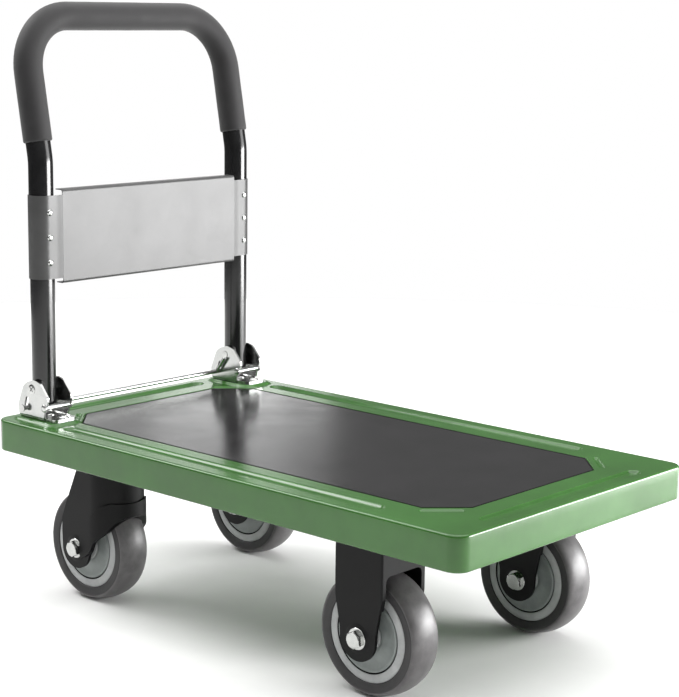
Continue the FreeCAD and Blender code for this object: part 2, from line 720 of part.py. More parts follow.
def rod_cap(side, sign):
    name = "rod_cap_" + side
    x = "dims.deck_mid + dims.hinge_x + dims.slot_x"
    z = "dims.hinge_z + dims.slot_z"
    half = "(dims.hinge_y + dims.cheek_span / 2 + dims.rod_overhang)"
    start = half if sign > 0 else "-%s - dims.cap_wall" % half
    return keep(rod_y(name, "dims.cap_radius", "dims.cap_wall", x, start, z))


# ---- wheels ----

def wheel(tag, x, y):
    spots = (x, y, "dims.wheel_radius")
    half = "dims.wheel_width / 2"
    tyre = turned("tyre_" + tag, [
        ("dims.rim_radius", "-" + half + " + 1.5"), ("dims.shoulder_radius", "-" + half),
        ("dims.shoulder_radius", half), ("dims.rim_radius", half + " - 1.5")],
        {1: ("dims.wheel_radius - dims.crown_radius", "0")})
    rim_half, web, boss = "dims.rim_width / 2", "dims.web_width / 2", "dims.boss_radius"
    rim = turned("rim_" + tag, [
        ("dims.bearing_radius", "-" + rim_half), (boss, "-" + rim_half), (boss, "-" + web),
        ("dims.rim_inner", "-" + web), ("dims.rim_inner", "-" + rim_half),
        ("dims.rim_radius", "-" + rim_half), ("dims.rim_radius", rim_half),
        ("dims.rim_inner", rim_half), ("dims.rim_inner", web), (boss, web), (boss, rim_half),
        ("dims.bearing_radius", rim_half)])
    disc = turned("disc_" + tag, [
        (boss + " + 0.2", rim_half + " - dims.cap_dish"),
        ("dims.cap_disc", rim_half + " - dims.cap_disc_wall"),
        ("dims.cap_disc", rim_half), ("dims.cap_disc - 3", rim_half),
        (boss + " + 0.2", rim_half + " - dims.cap_dish + dims.cap_disc_wall")])
    mirror = disc.newObject("PartDesign::Mirrored", disc.Name + "_mirror")
    mirror.Originals = [disc.Group[-2]]
    plane = next(item for item in disc.Origin.OriginFeatures if item.Role == "XZ_Plane")
    mirror.MirrorPlane = (plane, [""])
    disc.Tip = mirror
    bearing = turned("bearing_" + tag, [
        ("dims.axle_radius + dims.fit_gap", "-" + rim_half + " - dims.bearing_proud"),
        ("dims.bearing_radius", "-" + rim_half + " - dims.bearing_proud"),
        ("dims.bearing_radius", rim_half + " + dims.bearing_proud"),
        ("dims.axle_radius + dims.fit_gap", rim_half + " + dims.bearing_proud")])
    for piece in (tyre, rim, disc, bearing):
        place(piece, *spots)
        keep(piece)


def axle_bolt(tag, x, y, leg):
    """Hex bolt through both legs with a washer and a spacer inside each leg, and a nut."""
    name = "axle_bolt_" + tag
    z = "dims.wheel_radius"
    grip = "(%s + dims.washer_wall)" % leg
    inner = "(%s - dims.leg_wall)" % leg
    hub = "(dims.rim_width / 2 + dims.bearing_proud + dims.hub_gap)"
    rise = "dims.hex_rise"
    pieces = [rod_y(name + "_shank", "dims.axle_radius", "2 * %s + 2 * %s" % (grip, rise), x,
                    "%s - %s - %s" % (y, grip, rise), z),
              hexagon(name + "_head", "dims.hex_across", rise, x,
                      "%s - %s - %s" % (y, grip, rise), z, False),
              hexagon(name + "_nut", "dims.hex_across", rise, x, "%s + %s" % (y, grip), z, False),
              rod_y(name + "_washer_a", "dims.washer_radius", "dims.washer_wall", x,
                    "%s - %s" % (y, grip), z),
              rod_y(name + "_washer_b", "dims.washer_radius", "dims.washer_wall", x,
                    "%s + %s" % (y, leg), z),
              rod_y(name + "_spacer_a", "dims.axle_radius + 3", "%s - %s" % (inner, hub), x,
                    "%s - %s" % (y, inner), z),
              rod_y(name + "_spacer_b", "dims.axle_radius + 3", "%s - %s" % (inner, hub), x,
                    "%s + %s" % (y, hub), z)]
    return keep(fuse(name, pieces))


def plate_holes(body, z):
    holes = new_sketch(body, "XY_Plane", z)
    for sx in ("", "-"):
        for sy in ("", "-"):
            circle(holes, sx + "dims.plate_bolt_x", sy + "dims.plate_bolt_y",
                   "dims.plate_bolt + dims.hole_clear")
    bore(body, holes, "dims.plate_width")


def plate_bolts(tag, x, y):
    """Four bolts from the caster's plate up into the beams' lower walls."""
    name = "plate_bolts_" + tag
    pieces = []
    spots = [(sx, sy) for sx in ("+", "-") for sy in ("+", "-")]
    for index, (sx, sy) in enumerate(spots):
        px = "%s %s dims.plate_bolt_x" % (x, sx)
        py = "%s %s dims.plate_bolt_y" % (y, sy)
        mark = "_%d" % index
        low = "dims.plate_top - dims.plate_wall - dims.bolt_head_rise"
        pieces.append(rod_z(name + "_shank" + mark, "dims.plate_bolt", "dims.plate_bolt_length",
                            px, py, low))
        pieces.append(hexagon(name + "_head" + mark, "dims.nut_across", "dims.bolt_head_rise",
                              px, py, low, True))
        pieces.append(hexagon(name + "_nut" + mark, "dims.nut_across", "dims.nut_rise", px, py,
                              "dims.plate_top + dims.beam_wall", True))
    return keep(fuse(name, pieces))


def leg_pads(body, leg, points, foot_x):
    """Both legs of a fork, each a plate with a round foot about the axle."""
    for offset in (leg, "-%s + dims.leg_wall" % leg):
        plate = new_sketch(body, "XZ_Plane", offset)
        outline(plate, points)
        pad(body, plate, "dims.leg_wall", reverse=True)
        foot = new_sketch(body, "XZ_Plane", offset)
        circle(foot, foot_x, "dims.wheel_radius", "dims.leg_foot")
        pad(body, foot, "dims.leg_wall", reverse=True)


def arch_web(body, leg, x, top, low):
    """Cross web between the legs with rounded lower corners."""
    web = new_sketch(body, "YZ_Plane", x)
    inner = "(%s - dims.leg_wall)" % leg
    corner = "dims.arch_corner"
    foot = "(%s - 2 * %s)" % (low, corner)
    outline(web, [("-" + leg, foot), ("-" + inner, foot), ("-" + inner, low + " - " + corner),
                  ("-%s + %s" % (inner, corner), low), ("%s - %s" % (inner, corner), low),
                  (inner, low + " - " + corner), (inner, foot), (leg, foot),
                  (leg, top), ("-" + leg, top)],
            {2: ("-%s + %s" % (inner, corner), low + " - " + corner),
             4: ("%s - %s" % (inner, corner), low + " - " + corner)})
    pad(body, web, "dims.web_wall")


def hood(body, seam):
    """Half-round front of a swivel fork about the swivel axis, open below round the tyre."""
    outer, inner = "dims.swivel_leg", "(dims.swivel_leg - dims.leg_wall)"
    ring = new_sketch(body, "XY_Plane", "dims.hood_low")
    axis = ("0", "0")
    outline(ring, [("0", "-" + outer), (outer, "0"), ("0", outer), ("0", inner), (inner, "0"),
                   ("0", "-" + inner)], {0: axis, 1: axis, 3: axis, 4: axis})
    pad(body, ring, "dims.head_top - dims.hood_low")
    under = new_sketch(body, "XZ_Plane")
    outline(under, [(seam, "dims.hood_low - 5"), (seam, "dims.hood_low"), ("24", "104"),
                    ("36", "122"), (outer + " + 5", "127"), (outer + " + 5", "dims.hood_low - 5")])
    bore(body, under, "4 * " + outer)


def axle_hole(body, x):
    hole = new_sketch(body, "XZ_Plane")
    circle(hole, x, "dims.wheel_radius", "dims.axle_radius + dims.hole_clear")
    bore(body, hole, "4 * dims.swivel_leg")


def rigid_caster(side, sign):
    tag = "front_" + side
    x, y = "dims.deck_mid + dims.rigid_x", "%d * dims.rigid_y" % sign
    body = new_body("fork_" + tag)
    top = "dims.plate_top - dims.plate_wall"
    plate = new_sketch(body, "XY_Plane", top)
    rectangle(plate, "-dims.plate_length / 2", "dims.plate_length / 2",
              "-dims.plate_width / 2", "dims.plate_width / 2")
    pad(body, plate, "dims.plate_wall")
    wide = "dims.leg_width / 2"
    foot = "dims.leg_foot"
    leg_pads(body, "dims.rigid_leg",
             [("-" + wide, top), ("-" + wide, "dims.leg_taper_z"),
              ("-%s * 0.98" % foot, "dims.wheel_radius - 4"),
              ("%s * 0.98" % foot, "dims.wheel_radius - 4"),
              (wide, "dims.leg_taper_z"), (wide, top)], "0")
    arch_web(body, "dims.rigid_leg", wide + " - dims.web_wall", top, "dims.arch_z")
    arch_web(body, "dims.rigid_leg", "-" + wide, top, "dims.arch_z")
    axle_hole(body, "0")
    plate_holes(body, top)
    place(body, x, y, "0")
    keep(body)
    axle_bolt(tag, x, y, "dims.rigid_leg")
    wheel(tag, x, y)
    plate_bolts(tag, x, y)


def swivel_caster(side, sign):
    """Swivel caster: a fixed plate with its race and king bolt, and a fork that turns
    about Z with the wheel trailing towards the handle end."""
    tag = "rear_" + side
    x, y = "dims.deck_mid + dims.swivel_x", "%d * dims.swivel_y" % sign
    plate = new_body("swivel_plate_" + side)
    top = "dims.plate_top - dims.plate_wall"
    flat = new_sketch(plate, "XY_Plane", top)
    rectangle(flat, "-dims.plate_length / 2", "dims.plate_length / 2",
              "-dims.plate_width / 2", "dims.plate_width / 2")
    pad(plate, flat, "dims.plate_wall")
    race = new_sketch(plate, "XY_Plane", "dims.head_top + dims.race_gap")
    circle(race, "0", "0", "dims.race_radius")
    pad(plate, race, top + " - dims.head_top - dims.race_gap")
    centre = new_sketch(plate, "XY_Plane", top)
    circle(centre, "0", "0", "dims.king_radius + dims.pin_clear")
    bore(plate, centre, "dims.plate_width")
    plate_holes(plate, top)
    place(plate, x, y, "0")
    keep(plate)

    body = new_body("fork_" + tag)
    head = new_sketch(body, "XY_Plane", "dims.head_top - dims.head_wall")
    circle(head, "0", "0", "dims.head_radius")
    pad(body, head, "dims.head_wall")
    axle = "-dims.trail"
    foot = "dims.leg_foot"
    seam = "2"
    leg_pads(body, "dims.swivel_leg",
             [("dims.swivel_rear", "dims.head_top"), ("-48", "133"),
              ("%s - %s" % (axle, foot), "114"),
              ("%s - %s * 0.98" % (axle, foot), "dims.wheel_radius - 4"),
              ("%s + %s * 0.98" % (axle, foot), "dims.wheel_radius - 4"),
              (seam, "dims.hood_low"), (seam, "dims.head_top")], axle)
    hood(body, seam)
    arch_web(body, "dims.swivel_leg", "dims.swivel_rear", "dims.head_top", "dims.arch_z + 2")
    axle_hole(body, axle)
    king = new_sketch(body, "XY_Plane", "dims.head_top")
    circle(king, "0", "0", "dims.king_radius + dims.fit_gap")
    bore(body, king, "dims.head_radius")
    place(body, x, y, "0")
    keep(body)

    name = "king_bolt_" + side
    low = "dims.head_top - dims.head_wall - dims.race_gap"
    shank = rod_z(name + "_shank", "dims.king_radius",
                  "dims.plate_top + dims.king_nut_rise + 1 - (%s)" % low, x, y, low)
    cap = rod_z(name + "_cap", "dims.king_head", "dims.king_head_rise", x, y,
                low + " - dims.king_head_rise")
    nut = hexagon(name + "_nut", "dims.hex_across", "dims.king_nut_rise", x, y, "dims.plate_top",
                  True)
    keep(fuse(name, [shank, cap, nut]))
    wheel_x = x + " - dims.trail"
    axle_bolt(tag, wheel_x, y, "dims.swivel_leg")
    wheel(tag, wheel_x, y)
    plate_bolts(tag, x, y)


# ---- whole truck ----

deck_pan()
load_mat()
underframe()
for side, sign in sides:
    hinge_bracket(side, sign)
    headed_bar("stop_bar_" + side, "dims.stop_bar", "dims.stop_head",
               "dims.deck_mid + dims.hinge_x + dims.stop_x", "dims.hinge_z + dims.stop_z", sign)
    pivot_pin(side, sign)
    bracket_bolts(side, sign)
    pivot_bush(side, sign)
    rod_cap(side, sign)
handle_tube()
grip_sleeve()
back_panel()
panel_rivets()
release_rod()
for side, sign in sides:
    rigid_caster(side, sign)
    swivel_caster(side, sign)

doc.recompute()
faults = [item.Name for item in doc.Objects
          if "Invalid" in item.State or "Error" in item.State]
for piece in nodes:
    if piece.Shape.isNull() or not piece.Shape.isValid():
        faults.append(piece.Label)
if faults:
    raise RuntimeError("bad objects: " + ", ".join(faults))

os.makedirs("parts", exist_ok=True)
for piece in nodes:
    piece.Shape.exportStep("parts/%s.step" % piece.Label)
whole = Part.makeCompound([piece.Shape for piece in nodes]).BoundBox
print(len(nodes), "nodes, box", whole)
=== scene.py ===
import json
from math import copysign, cos, hypot, pi, radians, sin, sqrt, tan

import bmesh
import bpy
from mathutils import Matrix, Vector, noise


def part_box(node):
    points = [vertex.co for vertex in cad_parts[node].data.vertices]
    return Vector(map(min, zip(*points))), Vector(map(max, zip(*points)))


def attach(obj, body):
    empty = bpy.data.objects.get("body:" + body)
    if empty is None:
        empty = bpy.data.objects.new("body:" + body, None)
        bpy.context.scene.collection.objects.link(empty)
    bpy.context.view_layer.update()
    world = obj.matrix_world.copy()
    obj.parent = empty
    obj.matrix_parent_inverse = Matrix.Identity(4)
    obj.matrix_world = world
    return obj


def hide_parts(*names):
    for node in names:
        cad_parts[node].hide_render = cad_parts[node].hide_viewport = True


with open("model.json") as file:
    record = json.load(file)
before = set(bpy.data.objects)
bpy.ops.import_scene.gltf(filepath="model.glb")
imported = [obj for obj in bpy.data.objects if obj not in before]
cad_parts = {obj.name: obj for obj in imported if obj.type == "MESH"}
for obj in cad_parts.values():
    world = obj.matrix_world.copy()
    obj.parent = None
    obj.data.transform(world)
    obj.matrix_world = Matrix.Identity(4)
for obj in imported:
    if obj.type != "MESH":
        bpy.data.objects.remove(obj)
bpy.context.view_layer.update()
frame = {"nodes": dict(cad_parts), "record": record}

scene = bpy.context.scene
sides = (("left", 1), ("right", -1))


def mm(value):
    return value * 0.001


def inMm(value):
    return value * 1000


def middle(node):
    low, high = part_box(node)
    return (Vector(low) + Vector(high)) / 2


# Middle in x and the half sizes in x and y of a node, in mm
def plan(node):
    low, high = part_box(node)
    return inMm(low[0] + high[0]) / 2, inMm(high[0] - low[0]) / 2, inMm(high[1] - low[1]) / 2


# Distance from the middle to a side tube of the handle, in mm
def tubeReach():
    return inMm(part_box("handle_tube")[1][1]) - handleShape["tube"]


# sRGB hex to linear colour
def linear(text):
    channels = [int(text[i:i + 2], 16) / 255 for i in (1, 3, 5)]
    return [c / 12.92 if c <= 0.04045 else ((c + 0.055) / 1.055) ** 2.4 for c in channels] + [1.0]


def addNode(tree, kind, links=None, **settings):
    item = tree.nodes.new("ShaderNode" + kind)
    for name, value in settings.items():
        setattr(item, name, value)
    for socket, source in (links or {}).items():
        if isinstance(source, bpy.types.NodeSocket):
            tree.links.new(source, item.inputs[socket])
        else:
            item.inputs[socket].default_value = source
    return item


noiseLook = {"patch": {"Detail": 4.0, "Roughness": 0.6}, "speck": {"Detail": 3.0, "Roughness": 0.55},
             "tone": {"From Min": 0.35, "From Max": 0.65}, "gloss": {"From Min": 0.3, "From Max": 0.7}}


# A surface with uneven colour, uneven gloss and a fine relief, from one dictionary
def makeFinish(name, look):
    material = bpy.data.materials.new(name)
    material.use_nodes = True
    tree = material.node_tree
    shader = tree.nodes["Principled BSDF"]
    for socket, value in look["shader"].items():
        shader.inputs[socket].default_value = value
    spot = addNode(tree, "TexCoord").outputs["Object"]
    if "stretch" in look:
        stretched = addNode(tree, "Mapping", {"Vector": spot, "Scale": look["stretch"]})
        spot = stretched.outputs["Vector"]
    patch = addNode(tree, "TexNoise",
                    {"Vector": spot, "Scale": 1 / mm(look["patchSize"]), **noiseLook["patch"]}).outputs["Fac"]
    tone = addNode(tree, "MapRange", {"Value": patch, **noiseLook["tone"]})
    colour = addNode(tree, "Mix", {"Factor": tone.outputs["Result"], "A": linear(look["dark"]),
                                   "B": linear(look["light"])}, data_type="RGBA")
    speck = addNode(tree, "TexNoise",
                    {"Vector": spot, "Scale": 1 / mm(look["speckSize"]), **noiseLook["speck"]})
    gloss = addNode(tree, "MapRange", {"Value": patch, **noiseLook["gloss"],
                                       "To Min": look["rough"][0], "To Max": look["rough"][1]})
    tree.links.new(colour.outputs[2], shader.inputs["Base Color"])
    tree.links.new(gloss.outputs["Result"], shader.inputs["Roughness"])
    height = speck.outputs["Fac"]
    if "grain" in look:  # a second relief: moulded pebbles or pores
        grainSize, grainShare = look["grain"]
        cell = addNode(tree, "TexVoronoi", {"Vector": spot, "Scale": 1 / mm(grainSize)}, feature="F1")
        both = addNode(tree, "Mix",
                       {"Factor": grainShare, "A": height, "B": cell.outputs["Distance"]}, data_type="FLOAT")
        height = both.outputs[0]
    bump = addNode(tree, "Bump", {"Height": height, "Strength": look["relief"][0],
                                  "Distance": mm(look["relief"][1])})
    tree.links.new(bump.outputs["Normal"], shader.inputs["Normal"])
    return material


finishes = {
    # stoving enamel on pressed steel: deep green with a wet gloss and a slight orange peel
    "greenEnamel": {
        "dark": "#295819", "light": "#306320", "patchSize": 90, "speckSize": 2.2, "rough": (0.20, 0.27),
        "relief": (0.05, 0.04), "shader": {"IOR": 1.5, "Coat Weight": 0.15, "Coat Roughness": 0.08}},
    # calendered PVC mat: near black, soft sheen from a fine pebble
    "matVinyl": {
        "dark": "#151515", "light": "#1C1B1C", "patchSize": 60, "speckSize": 1.0, "rough": (0.17, 0.24),
        "relief": (0.12, 0.05), "grain": (1.6, 0.5), "shader": {"IOR": 1.5}},
    # painted shadow: a dead black, dull ring that stands in for the shaded gap round the mat, so the mat has
    # a drawn edge
    "gapShadowBlack": {
        "dark": "#050505", "light": "#0B0B0B", "patchSize": 20, "speckSize": 0.8, "rough": (0.7, 0.85),
        "relief": (0.2, 0.05), "shader": {"IOR": 1.45, "Specular IOR Level": 0.2}},
    # gloss powder coat on steel tube: black with long sharp highlights
    "blackPowder": {
        "dark": "#0E0E0F", "light": "#161617", "patchSize": 40, "speckSize": 1.6, "rough": (0.14, 0.22),
        "relief": (0.06, 0.04), "shader": {"IOR": 1.5, "Coat Weight": 0.35, "Coat Roughness": 0.08}},
    # closed-cell NBR foam sleeve: matte dark grey with pin pores
    "gripFoam": {
        "dark": "#1F1E1F", "light": "#292829", "patchSize": 22, "speckSize": 0.9, "rough": (0.62, 0.78),
        "relief": (0.55, 0.20), "grain": (1.3, 0.4),
        "shader": {"IOR": 1.45, "Sheen Weight": 0.15, "Sheen Roughness": 0.5}},
    # metal-flake satin lacquer on folded sheet: even mid grey that takes on the light round it
    "greyEnamel": {
        "dark": "#474747", "light": "#4E4E4E", "patchSize": 55, "speckSize": 1.4, "rough": (0.36, 0.42),
        "relief": (0.08, 0.04), "shader": {"Metallic": 0.25}},
    # barrel-plated zinc: bright, faintly blue, with a fine frosted grain
    "zincPlate": {
        "dark": "#B4B5B4", "light": "#C6C7C5", "patchSize": 12, "speckSize": 0.9, "rough": (0.16, 0.26),
        "relief": (0.06, 0.03), "shader": {"Metallic": 1.0}},
    # cathodic dip paint on stamped steel: satin black
    "blackDip": {
        "dark": "#060606", "light": "#0D0D0E", "patchSize": 30, "speckSize": 1.5, "rough": (0.34, 0.46),
        "relief": (0.12, 0.06), "shader": {"IOR": 1.45, "Specular IOR Level": 0.2}},
    # cured grey rubber, rolled tread: satin with faint scuffs
    "treadRubber": {
        "dark": "#4C4A4B", "light": "#5C5A5B", "patchSize": 14, "speckSize": 0.9, "rough": (0.32, 0.44),
        "relief": (0.35, 0.12), "shader": {"IOR": 1.5}},
    # the same rubber on the sidewalls: darker and flatter
    "sidewallRubber": {
        "dark": "#2E2D2E", "light": "#3A393A", "patchSize": 16, "speckSize": 1.1, "rough": (0.50, 0.66),
        "relief": (0.30, 0.12), "shader": {"IOR": 1.5}},
    # moulded polypropylene rim: pale grey, waxy
    "rimPolymer": {
        "dark": "#A0A2A2", "light": "#B0B2B2", "patchSize": 20, "speckSize": 1.2, "rough": (0.34, 0.46),
        "relief": (0.15, 0.06), "shader": {"IOR": 1.49}},
    # moulded polypropylene cover disc: a shade darker, leather-grained
    "discPolymer": {
        "dark": "#7E8482", "light": "#8C9290", "patchSize": 18, "speckSize": 1.0, "rough": (0.38, 0.52),
        "relief": (0.25, 0.08), "grain": (1.5, 0.4), "shader": {"IOR": 1.49}},
    # painted shade in the gap round the disc: the same moulding, coloured dark to stand in for its shadow
    "grooveShade": {
        "dark": "#0C0C0C", "light": "#161616", "patchSize": 10, "speckSize": 1.0, "rough": (0.6, 0.8),
        "relief": (0.2, 0.05), "shader": {"IOR": 1.49}},
    # turned bearing steel: bright with fine lathe lines
    "turnedSteel": {
        "dark": "#9FA0A0", "light": "#BBBCBC", "patchSize": 6, "speckSize": 0.6, "rough": (0.20, 0.34),
        "relief": (0.18, 0.04), "stretch": (1.0, 6.0, 1.0), "shader": {"Metallic": 1.0}},
}
made = {name: makeFinish(name, look) for name, look in finishes.items()}
slotFinish = {
    "green_paint": "greenEnamel", "mat_rubber": "matVinyl", "black_tube": "blackPowder",
    "grip_foam": "gripFoam", "grey_sheet": "greyEnamel", "zinc": "zincPlate", "black_steel": "blackDip",
    "bush_plastic": "blackPowder", "tyre_rubber": "treadRubber", "rim_plastic": "rimPolymer",
    "disc_plastic": "discPolymer", "bearing_steel": "turnedSteel"}
nodeSlot = {part["node"]: part["material_slot"] for part in frame["record"]["subparts"]}
for nodeName, cadPiece in frame["nodes"].items():
    cadPiece.data.materials.clear()
    cadPiece.data.materials.append(made[slotFinish[nodeSlot[nodeName]]])
print("finishes:", len(made))


def addObject(name, data):
    thing = bpy.data.objects.new(name, data)
    scene.collection.objects.link(thing)
    return thing


def newPiece(name, verts, faces):
    mesh = bpy.data.meshes.new(name)
    mesh.from_pydata([tuple(v) for v in verts], [], faces)
    mesh.validate()
    piece = addObject(name, mesh)
    tidy = bmesh.new()
    tidy.from_mesh(mesh)
    bmesh.ops.recalc_face_normals(tidy, faces=tidy.faces)
    tidy.to_mesh(mesh)
    tidy.free()
    return piece


# Replace the mesh by what its modifiers make, and drop them
def settle(piece):
    graph = bpy.context.evaluated_depsgraph_get()
    result = bpy.data.meshes.new_from_object(piece.evaluated_get(graph))
    piece.modifiers.clear()
    piece.data = result
    return piece


def thicken(piece, wall):
    step = piece.modifiers.new("wall", "SOLIDIFY")
    step.thickness = mm(wall)
    return settle(piece)


def carve(piece, cutters, operation="DIFFERENCE"):
    for cutter in cutters:
        step = piece.modifiers.new("carve", "BOOLEAN")
        step.operation = operation
        step.solver = "EXACT"
        step.object = cutter
    settle(piece)
    for cutter in cutters:
        bpy.data.objects.remove(cutter)
    return piece


# Round the sharp edges and keep the flats flat
def soften(piece, width, segments=2, angle=32):
    step = piece.modifiers.new("edges", "BEVEL")
    step.width = mm(width)
    step.segments = segments
    step.limit_method = "ANGLE"
    step.angle_limit = radians(angle)
    flat = piece.modifiers.new("flats", "WEIGHTED_NORMAL")
    flat.keep_sharp = True
    piece.data.shade_smooth()
    return settle(piece)


def smooth(piece, angle=38):
    piece.data.shade_smooth()
    piece.data.set_sharp_from_angle(angle=radians(angle))
    return piece


# One piece out of several loose ones
def join(name, pieces):
    whole = bmesh.new()
    for part in pieces:
        whole.from_mesh(part.data)
        bpy.data.objects.remove(part)
    mesh = bpy.data.meshes.new(name)
    whole.to_mesh(mesh)
    whole.free()
    return addObject(name, mesh)


# Give a finished piece its material, its body and the CAD nodes that it stands for
def fit(piece, body, slot, *stands, finish=None):
    if not piece.data.materials:
        piece.data.materials.append(made[finish or slotFinish[slot]])
    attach(piece, body)
    if stands:
        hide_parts(*stands)
    return piece


# Vector with h along the axis, and a and b across it
def across(axis, a, b, h):
    return Vector({"x": (h, a, b), "y": (a, h, b), "z": (a, b, h)}[axis])


def onAxis(axis, centre, radius, angle, along):
    return Vector(centre) + across(axis, radius * cos(angle), radius * sin(angle), along)


# Turn a profile of (radius, distance along the axis), in mm, about the axis. An angle smooths it
def spin(name, profile, axis, centre, segments, angle=None):
    verts, rings = [], []
    for radius, along in profile:
        if radius < 1e-6:
            rings.append([len(verts)])
            verts.append(onAxis(axis, centre, 0, 0, mm(along)))
            continue
        rings.append(list(range(len(verts), len(verts) + segments)))
        verts += [onAxis(axis, centre, mm(radius), 2 * pi * k / segments, mm(along))
                  for k in range(segments)]
    faces = []
    for low, high in zip(rings, rings[1:]):
        for k in range(segments):
            after = (k + 1) % segments
            loop = [low[k % len(low)], low[after % len(low)], high[after % len(high)], high[k % len(high)]]
            faces.append(list(dict.fromkeys(loop)))
    piece = newPiece(name, verts, faces)
    return smooth(piece, angle) if angle else piece


def flip(profile, sign):
    return [(radius, sign * along) for radius, along in profile]


# Closed outline with its corners rounded. radius is one number or one for each corner
def roundLoop(points, radius, steps=5):
    loop = []
    count = len(points)
    for i, point in enumerate(points):
        here = Vector(point)
        back, ahead = Vector(points[i - 1]) - here, Vector(points[(i + 1) % count]) - here
        wanted = radius[i] if isinstance(radius, (list, tuple)) else radius
        angle = back.angle(ahead)
        reach = min(wanted / tan(angle / 2), 0.48 * back.length, 0.48 * ahead.length)
        if reach < 0.05:
            loop.append(here)
            continue
        begin, end = here + back.normalized() * reach, here + ahead.normalized() * reach
        for k in range(steps + 1):
            t = k / steps
            loop.append(begin * (1 - t) ** 2 + here * (2 * t * (1 - t)) + end * t ** 2)
    return loop


# Rectangle from low to high on both sides of a middle line
def boxLoop(half, low, high, radius=0, steps=5):
    return roundLoop([(-half, low), (half, low), (half, high), (-half, high)], radius, steps)


# Points on an arc, from the first angle to the last, in degrees
def arc(centre, radius, first, last, steps=12):
    turns = [radians(first + (last - first) * k / steps) for k in range(steps + 1)]
    return [(centre[0] + radius * cos(t), centre[1] + radius * sin(t)) for t in turns]


# Outline in mm, extruded along an axis. For y the outline is (x, z), for x it is (y, z)
def prism(name, loop, axis, low, high, origin=(0, 0, 0)):
    count = len(loop)
    verts = [Vector(origin) + mm(1) * across(axis, a, b, h) for h in (low, high) for a, b in loop]
    faces = [list(range(count)), list(range(2 * count - 1, count - 1, -1))]
    faces += [[k, k + count, (k + 1) % count + count, (k + 1) % count] for k in range(count)]
    return newPiece(name, verts, faces)


# Faces between two rings of corners
def bridge(low, high):
    count = len(low)
    return [[low[k], low[(k + 1) % count], high[(k + 1) % count], high[k]] for k in range(count)]


# Round tube along a path of points; radii holds one radius in mm for each point
def sweep(name, path, radii, around=48, inside=0.0):
    verts, faces = [], []
    side = Vector((0, 1, 0))
    rings = []
    for i, point in enumerate(path):
        ahead = (path[min(i + 1, len(path) - 1)] - path[max(i - 1, 0)]).normalized()
        if abs(side.dot(ahead)) < 0.99:
            side = (side - ahead * side.dot(ahead)).normalized()
        else:  # the path has turned along the side vector
            side = Vector((1, 0, 0)).cross(ahead).normalized()
        up = ahead.cross(side)
        rings.append([len(verts) + k for k in range(around)])
        for k in range(around):
            angle = 2 * pi * k / around
            verts.append(point + (side * cos(angle) + up * sin(angle)) * mm(radii[i]))
    for low, high in zip(rings, rings[1:]):
        faces += bridge(low, high)
    if inside:
        return thicken(newPiece(name, verts, faces), inside)
    faces += [rings[0][::-1], rings[-1]]
    return newPiece(name, verts, faces)


hexShape = {"facets": 24, "chamfer": 0.09, "drop": 0.15, "topFace": 0.93, "angle": 25}


# Hex head or nut with its top corners turned off; outward is +1 or -1 along the axis
def hexagon(name, width, height, axis, centre, low, outward):
    flat, corner = width / 2, width / sqrt(3)
    chamfer, facets = hexShape["chamfer"] * width, hexShape["facets"]
    foot, edge, top = [], [], []
    for k in range(facets):
        angle = 2 * pi * k / facets
        wedge = (angle + pi / 6) % (pi / 3) - pi / 6
        reach = flat / cos(wedge)
        share = (reach - flat) / (corner - flat)
        foot.append((reach, angle, 0.0))
        edge.append((reach, angle, height - hexShape["drop"] * chamfer - chamfer * share))
        top.append((flat * hexShape["topFace"], angle, height))
    verts = [onAxis(axis, centre, mm(r), a, mm(low + outward * h)) for r, a, h in foot + edge + top]
    faces = [list(range(facets - 1, -1, -1)), list(range(2 * facets, 3 * facets))]
    for level in (0, facets):
        faces += bridge(range(level, level + facets), range(level + facets, level + 2 * facets))
    return smooth(newPiece(name, verts, faces), hexShape["angle"])


deckShape = {
    "corner": 19, "edge": 3, "sheet": 1.6, "lip": 13, "bottomBend": 2.4, "recess": 3.1, "recessSlope": 1.6,
    "matCorner": 40, "matGap": 0.7, "gapShadowOut": 1.0, "gapShadowIn": 0.7, "gapShadowRise": 0.3, "bead": 21,
    "beadFloor": 11, "beadDepth": 3.4, "sideBeadY": 191, "sideBeadX": (-284, 262), "endBeadX": 371,
    "frontReach": 152, "rearReach": 134, "slimBead": 8.5, "slimDepth": 2.6, "frontSlim": (315, 152, 52),
    "rearSlim": (324, 137, 38), "padRise": 3.5, "padX": -338, "padY": 178, "padSize": (80, 46),
    "padCorner": 12, "padSlope": 6.5, "fineStep": 1.4, "coarseStep": 12, "fineX": (-270, (250, 268), 286),
    "fineY": 112, "gapShadowDepth": 2.0, "gapShadowEdge": 0.25, "skirtShares": (0.3, 0.6, 0.85)}


def ease(value, low, high):
    t = min(max((value - low) / (high - low), 0), 1)
    return t * t * (3 - 2 * t)


def segmentDistance(x, y, a, b):
    along = Vector(b) - Vector(a)
    point = Vector((x, y)) - Vector(a)
    share = min(max(point.dot(along) / along.length_squared, 0), 1)
    return (point - along * share).length


# Each bead as its two end centres, half width, half floor and depth
def deckBeads(shape):
    half, floor, depth = shape["bead"] / 2, shape["beadFloor"] / 2, shape["beadDepth"]
    rear, front = shape["sideBeadX"]
    beads = []
    for _, sign in sides:
        y = sign * shape["sideBeadY"]
        beads.append(((rear + half, y), (front - half, y), half, floor, depth))
    for x, reach in ((shape["endBeadX"], shape["frontReach"]), (-shape["endBeadX"], shape["rearReach"])):
        beads.append(((x, half - reach), (x, reach - half), half, floor, depth))
    slim = shape["slimBead"] / 2
    for end, key in ((1, "frontSlim"), (-1, "rearSlim")):
        x, y, length = shape[key]
        reach = (length / 2 - slim) / sqrt(2)
        for _, sign in sides:
            a = (end * (x - reach), sign * (y + reach))
            b = (end * (x + reach), sign * (y - reach))
            beads.append((a, b, slim, slim * 0.3, shape["slimDepth"]))
    return beads


